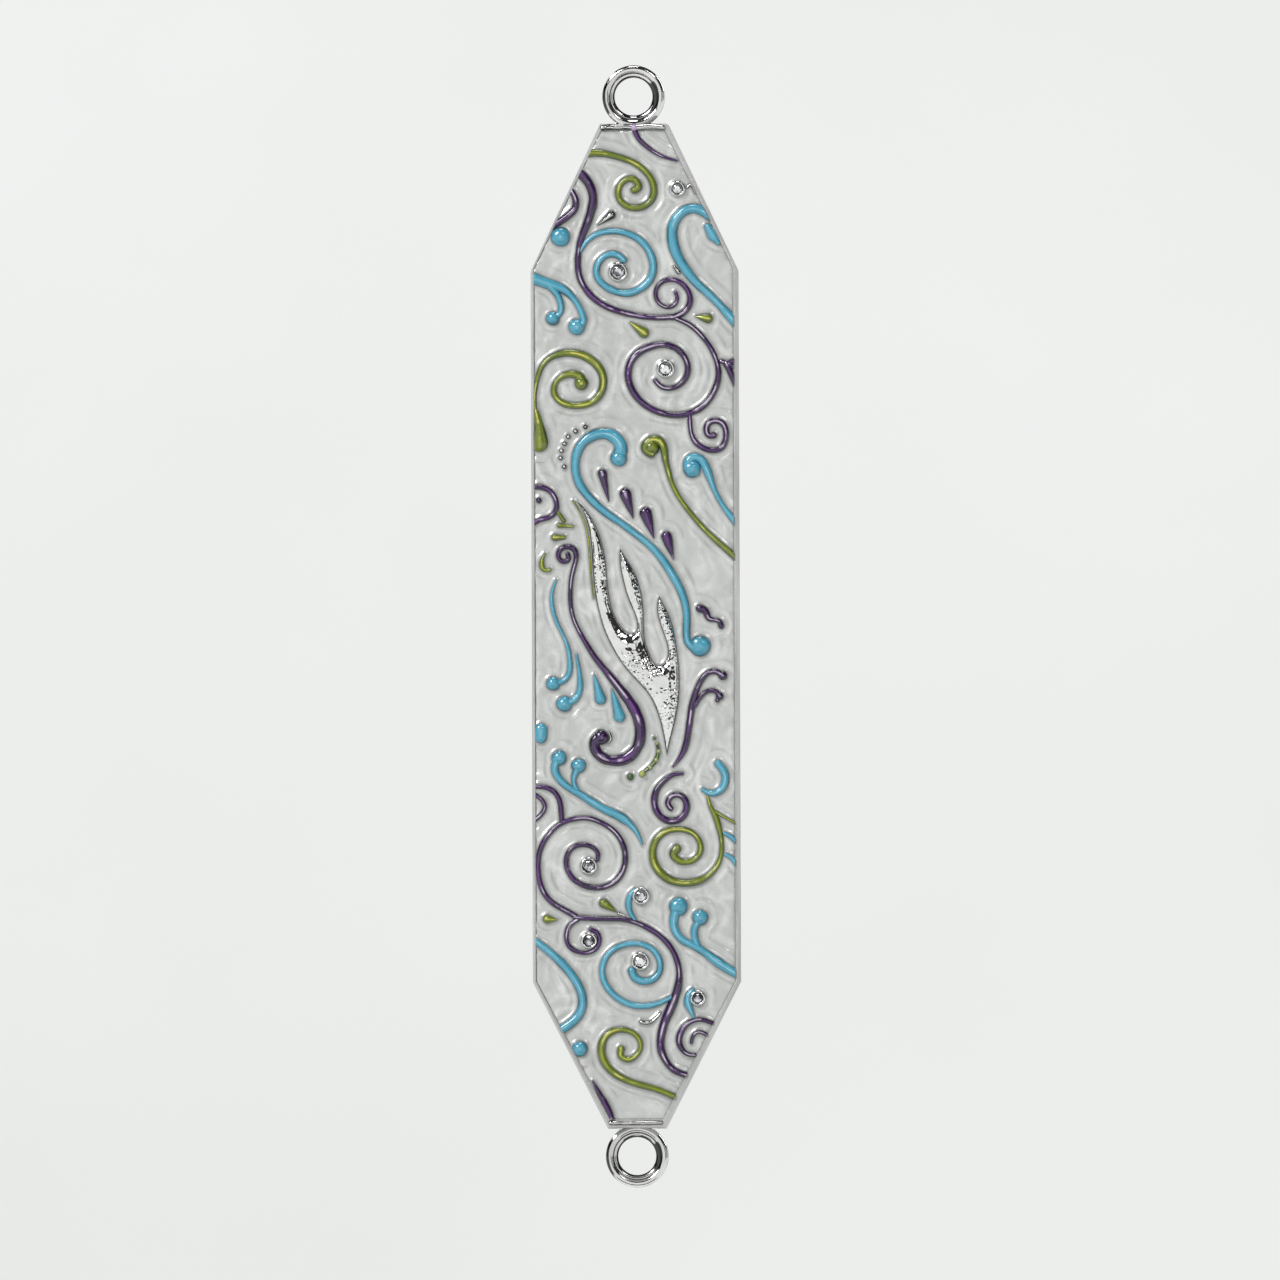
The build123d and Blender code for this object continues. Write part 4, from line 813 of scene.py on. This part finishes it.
def scroll(parchment, film):
    """The parchment is one sheet wound on itself; the clear sleeve is wrapped round it with a seam."""
    turns, sheet, inner, sides = 4.6, 0.3, 2.15, 72
    low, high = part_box("scroll_parchment")
    growth = (high.x - low.x) / 2 / MM - sheet - inner - 0.02
    shares = [i / int(turns * sides) for i in range(int(turns * sides) + 1)]
    spiral = [(2 * math.pi * turns * share, inner + growth * share) for share in shares]
    wound_sheet("rolled_parchment", parchment, "scroll_parchment", spiral, sheet * 0.8)
    low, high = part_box("scroll_sleeve")
    reach = (high.x - low.x) / 2 / MM - 0.09
    lapped = [(2 * math.pi * i / sides + 0.9, reach + 0.06 * i / sides) for i in range(sides * 9 // 8 + 1)]
    wound_sheet("film_sleeve", film, "scroll_sleeve", lapped, 0.03)


# --- materials ---
class Material:
    """A node material, with a short way to add and join nodes."""

    def __init__(self, name, **settings):
        self.data = bpy.data.materials.new(name)
        self.data.use_nodes = True
        self.tree = self.data.node_tree
        self.shader = self.tree.nodes["Principled BSDF"]
        self.set(self.shader, settings)
        self.place = self.add("ShaderNodeTexCoord").outputs["Object"]

    def set(self, node, values):
        for name, value in values.items():
            socket = node.inputs[name.replace("_", " ")] if isinstance(name, str) else node.inputs[name]
            if isinstance(value, bpy.types.NodeSocket):
                self.tree.links.new(value, socket)
            else:
                socket.default_value = value

    def add(self, kind, values=None, **settings):
        node = self.tree.nodes.new(kind)
        for name, value in settings.items():
            setattr(node, name, value)
        self.set(node, values or {})
        return node

    def noise(self, size, detail=2.0, place=None):
        """Smooth noise between 0 and 1, whose spots are about size millimetres across."""
        values = {"Vector": place or self.place, "Scale": 0.5 / (size * MM), "Detail": detail}
        return self.add("ShaderNodeTexNoise", values).outputs["Fac"]

    def cells(self, size, feature="F1"):
        values = {"Vector": self.place, "Scale": 1 / (size * MM)}
        return self.add("ShaderNodeTexVoronoi", values, feature=feature).outputs["Distance"]

    def ramp(self, factor, *stops):
        """A colour ramp through (position, colour) stops; a plain number stands for a grey."""
        node = self.add("ShaderNodeValToRGB", {"Fac": factor})
        elements = node.color_ramp.elements
        while len(elements) < len(stops):
            elements.new(0.5)
        for element, (position, colour) in zip(elements, stops):
            element.position = position
            element.color = (*colour, 1) if isinstance(colour, tuple) else (colour, colour, colour, 1)
        return node.outputs["Color"]

    def mix(self, factor, a, b, blend="MIX"):
        node = self.add("ShaderNodeMix", data_type="RGBA", blend_type=blend)
        self.set(node, {0: factor, 6: a, 7: b})
        return node.outputs[2]

    def finish(self, colour, roughness, normal, **more):
        """Joins the finished colour, roughness and normal to the shader, and gives the material back."""
        self.set(self.shader, {"Base Color": colour, "Roughness": roughness, "Normal": normal, **more})
        return self.data

    def math(self, operation, a, b=0.0):
        return self.add("ShaderNodeMath", {0: a, 1: b}, operation=operation).outputs[0]

    def attribute(self, name):
        return self.add("ShaderNodeAttribute", attribute_name=name).outputs["Fac"]

    def bump(self, height, depth, after=None):
        """depth is what a height of 1 stands off the surface, in millimetres."""
        values = {"Height": height, "Distance": depth * MM, "Strength": 1.0}
        if after:
            values["Normal"] = after
        return self.add("ShaderNodeBump", values).outputs["Normal"]

    def stretched(self, x, y, z):
        """The place with each axis scaled: a small number draws the pattern out along that axis."""
        return self.add("ShaderNodeMapping", {"Vector": self.place, "Scale": (x, y, z)}).outputs["Vector"]


def bright_metal():
    """Plated casting: almost a mirror on its high places, with near-black painted shade where the crest
    attribute is low: in hollows, at the feet of raised work and, on the eyes, painted dark reflections.
    """
    m = Material("bright_plated_metal", Metallic=1.0)
    tone = m.ramp(m.noise(2.5, 3.0), (0.3, (0.66, 0.66, 0.655)), (0.7, (0.88, 0.88, 0.87)))
    # painted shade: near black where the crest attribute is low, broken up by noise
    recess = m.math("SUBTRACT", m.math("MULTIPLY", m.noise(0.8, 2.0), 0.9), m.attribute("crest"))
    painted_shade = m.ramp(m.math("MULTIPLY", m.math("ADD", recess, 1.0), 0.5), (0.4, 0.0), (0.52, 0.93))
    return m.finish(
        m.mix(painted_shade, tone, (0.03, 0.03, 0.032, 1)),
        m.ramp(m.noise(0.9, 3.0), (0.3, 0.06), (0.75, 0.17)),
        m.bump(m.noise(0.35, 2.0), 0.012, after=m.bump(m.noise(1.4, 1.0), 0.07)),
    )


def hammered_metal():
    """Bright metal struck all over with a small punch, in patches with bare bright metal between them."""
    m = Material("hammered_bright_metal", Metallic=1.0)
    blows = m.cells(0.3, feature="SMOOTH_F1")
    patch = m.ramp(m.noise(2.4, 2.0), (0.46, 0.0), (0.58, 1.0))
    tone = m.ramp(m.noise(1.5, 3.0), (0.3, (0.8, 0.8, 0.79)), (0.7, (0.95, 0.95, 0.94)))
    # painted shade: a thin dark line along the emblem's edge
    off_edge = m.ramp(m.attribute("crest"), (0.2, 0.0), (0.7, 1.0))
    return m.finish(
        m.mix(off_edge, (0.04, 0.04, 0.04, 1), tone),
        m.ramp(m.noise(0.5, 3.0), (0.3, 0.06), (0.8, 0.14)),
        m.bump(m.math("MULTIPLY", blows, patch), 0.12, after=m.bump(m.noise(0.6, 2.0), 0.02)),
    )


def cast_metal():
    """The plated casting of the case itself: a fine sandy skin, polished only where hands reach it."""
    m = Material("plated_casting", Metallic=1.0)
    skin = m.noise(0.16, 4.0)
    rubbed = m.noise(5.0, 3.0)
    return m.finish(
        m.ramp(rubbed, (0.3, (0.5, 0.5, 0.495)), (0.7, (0.68, 0.68, 0.67))),
        m.ramp(rubbed, (0.3, 0.74), (0.7, 0.58)),
        m.bump(skin, 0.035, after=m.bump(m.noise(1.6, 2.0), 0.05)),
    )


def satin_metal():
    m = Material("satin_metal", Metallic=1.0)
    strokes = m.noise(0.12, 3.0, place=m.stretched(1, 1, 0.03))
    return m.finish(
        m.ramp(m.noise(4.0, 4.0), (0.3, (0.5, 0.5, 0.49)), (0.7, (0.66, 0.66, 0.65))),
        m.ramp(strokes, (0.3, 0.28), (0.7, 0.42)),
        m.bump(strokes, 0.01, after=m.bump(m.noise(0.4, 2.0), 0.01)),
    )


def pearl():
    """Pearl enamel: brushed-in swirls of mica under a clear gloss, with painted shade greying it close to the
    strokes and along the panel's edge.
    """
    m = Material("pearl_enamel", Metallic=0.22, Coat_Weight=0.9, Coat_Roughness=0.05, Coat_IOR=1.5)
    drift = m.add("ShaderNodeTexNoise", {"Vector": m.place, "Scale": 160.0, "Detail": 1.0})
    warp = m.add("ShaderNodeVectorMath", {0: drift.outputs["Color"], "Scale": 0.012}, operation="SCALE")
    turned = m.add("ShaderNodeMapping", {"Vector": m.place, "Rotation": (0, 0.6, 0), "Scale": (1, 1, 0.25)})
    swirl_place = m.add("ShaderNodeVectorMath", {0: turned.outputs[0], 1: warp.outputs["Vector"]}).outputs[0]
    swirl = m.noise(0.9, 4.0, place=swirl_place)
    cloud = m.noise(5.0, 2.0)
    tones = (0.28, (0.52, 0.525, 0.51)), (0.5, (0.63, 0.635, 0.62)), (0.72, (0.84, 0.845, 0.83))
    tone = m.ramp(swirl, *tones)
    tone = m.mix(m.ramp(cloud, (0.35, 0.0), (0.65, 0.5)), tone, (0.58, 0.595, 0.58, 1))
    # painted shade, grey to near black, close to each stroke and along the panel's edge
    edge = m.ramp(m.attribute("crest"), (0.3, 0.0), (0.8, 0.35), (1.0, 0.85))
    return m.finish(
        m.mix(edge, tone, (0.2, 0.205, 0.195, 1)),
        m.ramp(swirl, (0.3, 0.36), (0.7, 0.24)),
        m.bump(swirl, 0.02, after=m.bump(m.noise(0.12, 1.0), 0.004)),
    )


def enamel(name, shades, glint, glint_from, metallic):
    """Coloured enamel over a raised stroke: painted shade at the foot, lighter towards the crest from thinner
    enamel and painted light, and worn spots along the crest where bare metal shows with a painted highlight.

    shades are its colours where it is darkest, usual and lightest.
    """
    m = Material(name, Coat_Weight=1.0, Coat_Roughness=0.06, Coat_IOR=1.5)
    crest = m.attribute("crest")
    blotch = m.ramp(m.noise(1.3, 3.0), (0.36, 0.0), (0.64, 1.0))
    height = m.math("ADD", m.math("MULTIPLY", crest, 0.72), m.math("MULTIPLY", blotch, 0.28))
    dark, usual, light = shades
    # painted shade darkens the foot; towards the crest it lightens, partly from thinner enamel and partly as
    # painted light
    tone = m.ramp(height, (0.14, dark), (0.42, usual), (0.66, usual), (0.95, light))
    near_top = m.ramp(crest, (glint_from, 0.0), (min(glint_from + 0.2, 1.0), 1.0))
    # worn spots near the crest: bare metal showing through, with a painted highlight in the glint colour
    worn_glint = m.math("MULTIPLY", near_top, m.ramp(m.noise(1.1, 3.0), (0.5, 0.0), (0.6, 1.0)))
    return m.finish(
        m.mix(worn_glint, tone, (*glint, 1)),
        m.ramp(m.noise(0.5, 2.0), (0.3, 0.22), (0.7, 0.36)),
        m.bump(m.noise(0.5, 2.0), 0.02),
        Metallic=m.math("MULTIPLY", worn_glint, metallic),
    )


ENAMELS = (  # name; colours where darkest, usual, lightest; glint's colour, where it starts, how metallic
    ("purple", ((0.002, 0.001, 0.004), (0.028, 0.003, 0.06), (0.13, 0.02, 0.22)),
     (0.7, 0.6, 0.74), 0.7, 0.85),
    ("lilac", ((0.2, 0.12, 0.26), (0.5, 0.36, 0.6), (0.62, 0.5, 0.7)), (0.8, 0.7, 0.85), 0.8, 0.3),
    ("blue", ((0.01, 0.12, 0.18), (0.075, 0.36, 0.5), (0.14, 0.46, 0.6)), (0.4, 0.7, 0.8), 0.85, 0.1),
    ("green", ((0.02, 0.05, 0.003), (0.14, 0.19, 0.008), (0.36, 0.38, 0.02)), (0.75, 0.7, 0.15), 0.7, 0.5),
    ("dark_green", ((0.01, 0.03, 0.002), (0.03, 0.1, 0.006), (0.12, 0.2, 0.02)), (0.6, 0.6, 0.2), 0.8, 0.4),
    ("pale_green", ((0.05, 0.09, 0.01), (0.42, 0.46, 0.12), (0.72, 0.72, 0.4)), (0.8, 0.8, 0.6), 0.9, 0.2),
)


def crystal_glass():
    m = Material("foiled_crystal", Metallic=0.85, Coat_Weight=1.0, Coat_Roughness=0.0, Coat_IOR=1.6)
    tones = (0.38, (0.12, 0.12, 0.14)), (0.5, (0.7, 0.71, 0.75)), (0.7, (0.97, 0.97, 0.98))
    return m.finish(
        m.ramp(m.noise(0.5, 1.0), *tones),
        m.ramp(m.noise(0.5, 1.0), (0.3, 0.0), (0.8, 0.04)),
        m.bump(m.cells(0.3), 0.012),
    )


def parchment_skin():
    m = Material("scraped_parchment", Subsurface_Weight=0.1, Subsurface_Radius=(0.001, 0.0007, 0.0004))
    fibre = m.noise(0.5, 5.0, place=m.stretched(1, 1, 0.3))
    return m.finish(
        m.ramp(fibre, (0.3, (0.62, 0.52, 0.36)), (0.7, (0.8, 0.72, 0.55))),
        m.ramp(m.noise(2.0, 3.0), (0.3, 0.6), (0.7, 0.8)),
        m.bump(fibre, 0.03),
    )


def clear_film():
    m = Material("clear_film", Coat_Weight=1.0, Coat_Roughness=0.04, Coat_IOR=1.5)
    return m.finish(
        m.ramp(m.noise(6.0, 2.0), (0.3, (0.86, 0.89, 0.91)), (0.7, (0.96, 0.97, 0.97))),
        m.ramp(m.noise(3.0, 3.0), (0.3, 0.03), (0.7, 0.12)),
        m.bump(m.noise(3.0, 2.0), 0.05),
        Alpha=m.ramp(m.noise(4.0, 2.0), (0.3, 0.14), (0.7, 0.26)),
    )


# --- stage ---
def backdrop():
    """A pale floor that sweeps up into a round wall, well outside the light that the object needs."""
    radius, floor, bend, top = 4.2, -0.5, 0.9, 1.0
    profile = [(0.001, floor), (radius - bend, floor)]
    profile += [
        (radius - bend + bend * math.sin(turn), floor + bend - bend * math.cos(turn))
        for turn in np.linspace(0.1, math.pi / 2, 12)
    ]
    profile.append((radius, top))
    sides = 96
    verts = [(*around(r, 2 * math.pi * j / sides), z) for r, z in profile for j in range(sides)]
    mesh = bpy.data.meshes.new("backdrop")
    mesh.from_pydata(verts, [], tube_faces(len(profile), sides))
    mesh.shade_smooth()
    m = Material("pale_backdrop", Roughness=0.9, Emission_Strength=0.93)
    grain = m.add("ShaderNodeTexNoise", {"Vector": m.place, "Scale": 2.5, "Detail": 5.0}).outputs["Fac"]
    m.set(m.shader, {
        "Base Color": m.ramp(grain, (0.3, (0.12, 0.123, 0.12)), (0.7, (0.14, 0.142, 0.14))),
        "Emission Color": m.ramp(grain, (0.3, (0.8, 0.815, 0.8)), (0.7, (0.86, 0.87, 0.86))),
    })
    mesh.materials.append(m.data)
    placed("backdrop", mesh)


def softbox(name, place, size, radiance):
    light = bpy.data.lights.new(name, "AREA")
    light.shape = "RECTANGLE"
    light.size, light.size_y = size
    light.energy = radiance * math.pi * size[0] * size[1]
    placed(name, light, place, faces=(0, 0, 0), front="-Z")


def black_card(name, place, size, faces=(0, 0, 0)):
    """A dark panel for the bright metal to mirror, facing the object or another place."""
    mesh = bpy.data.meshes.new(name)
    w, h = size[0] / 2, size[1] / 2
    mesh.from_pydata([(-w, -h, 0), (w, -h, 0), (w, h, 0), (-w, h, 0)], [], [(0, 1, 2, 3)])
    m = Material(name + "_cloth", Roughness=0.9)
    weave = m.add("ShaderNodeTexNoise", {"Vector": m.place, "Scale": 300.0}).outputs["Fac"]
    m.set(m.shader, {"Base Color": m.ramp(weave, (0.3, 0.012), (0.7, 0.02))})
    mesh.materials.append(m.data)
    placed(name, mesh, place, faces)


def lights():
    world = bpy.data.worlds.new("studio")
    world.use_nodes = True
    world.node_tree.nodes["Background"].inputs["Color"].default_value = (0.03, 0.03, 0.032, 1)
    bpy.context.scene.world = world
    softbox("key", (-1.1, -1.5, 1.25), (0.8, 0.8), 15)
    softbox("fill", (0.75, -1.7, 1.1), (0.4, 0.4), 5)
    softbox("overhead", (0.0, -0.5, 1.9), (0.6, 0.4), 10)
    softbox("rear_left", (-1.3, 1.4, 1.1), (0.8, 0.8), 5)
    softbox("rear_right", (1.4, 1.2, 0.9), (0.5, 0.9), 5)
    # beyond any place that the object is looked at from, so that none comes between
    for name, place, size in (
        ("left_card", (-3.6, -1.46, 0.2), (1.85, 2.5)),
        ("near_right_card", (1.65, -3.6, 0.2), (1.15, 1.95)),
        ("right_card", (3.25, -2.15, 0.2), (1.15, 1.75)),
        ("far_right_card", (3.85, -0.78, 0.58), (0.95, 2.1)),
        ("rear_left_card", (-3.55, 1.55, 0.4), (1.15, 2.1)),
        ("rear_right_card", (3.5, 1.6, 0.4), (1.15, 2.1)),
        ("top_card", (1.1, -2.4, 2.7), (1.6, 1.0)),
    ):
        black_card(name, place, size)
    black_card("low_card", (-0.03, -0.55, -0.49), (0.8, 0.4), faces=(-0.03, -0.55, 0))


def camera():
    distance, azimuth, elevation = 2.2, math.radians(0.6), math.radians(-1.2)
    frame_height = 0.1449  # what the picture spans at the object
    data = bpy.data.cameras.new("camera")
    data.sensor_width = 36
    data.lens = 18 * distance / (frame_height / 2)
    target = Vector((0.0006, -0.012, -0.00175))
    level = math.cos(elevation)
    back = Vector((math.sin(azimuth) * level, -math.cos(azimuth) * level, math.sin(elevation)))
    eye = placed("camera", data, target + back * distance)
    eye.rotation_euler = (-back).to_track_quat("-Z", "Y").to_euler()
    eye.rotation_euler.rotate_axis("Z", math.radians(-0.2))
    bpy.context.scene.camera = eye


def main():
    camera()
    scene = bpy.context.scene
    scene.view_settings.view_transform = "Standard"
    bright, hammered, satin = bright_metal(), hammered_metal(), satin_metal()
    enamels = {
        name: enamel(name + "_enamel", shades, glint, glint_from, metallic)
        for name, shades, glint, glint_from, metallic in ENAMELS
    }
    pearl_ground({**PURPLE_WORK, **BLUE_WORK, **GREEN_WORK, **DARK_GREEN_WORK, **SILVER_WORK}, pearl())
    raised_work(PURPLE_WORK, enamels["purple"])
    raised_work(BLUE_WORK, enamels["blue"])
    raised_work(DARK_GREEN_WORK, enamels["dark_green"])
    raised_work(GREEN_WORK, enamels["green"])
    raised_work(SILVER_WORK, bright)
    emblem(hammered)
    settings(bright)
    crystals(crystal_glass())
    softened("case_shell", "cast_case", 0.08, cast_metal(), "case")
    softened("back_cover", "sliding_cover", 0.12, satin, "cover")
    eye_ring("top_eye", "top_eye_ring", 1, bright)
    eye_ring("bottom_eye", "bottom_eye_ring", -1, bright)
    domes("bead_chain", PALE_BEADS, enamels["pale_green"], "green_enamel", top=PALE_TOP, rings=6, sides=18)
    end_lips(bright)
    domes("sprig_root", SPRIG_ROOT, enamels["lilac"], "purple_enamel", top=LIP_TOP)
    scroll(parchment_skin(), clear_film())
    backdrop()
    lights()


main()
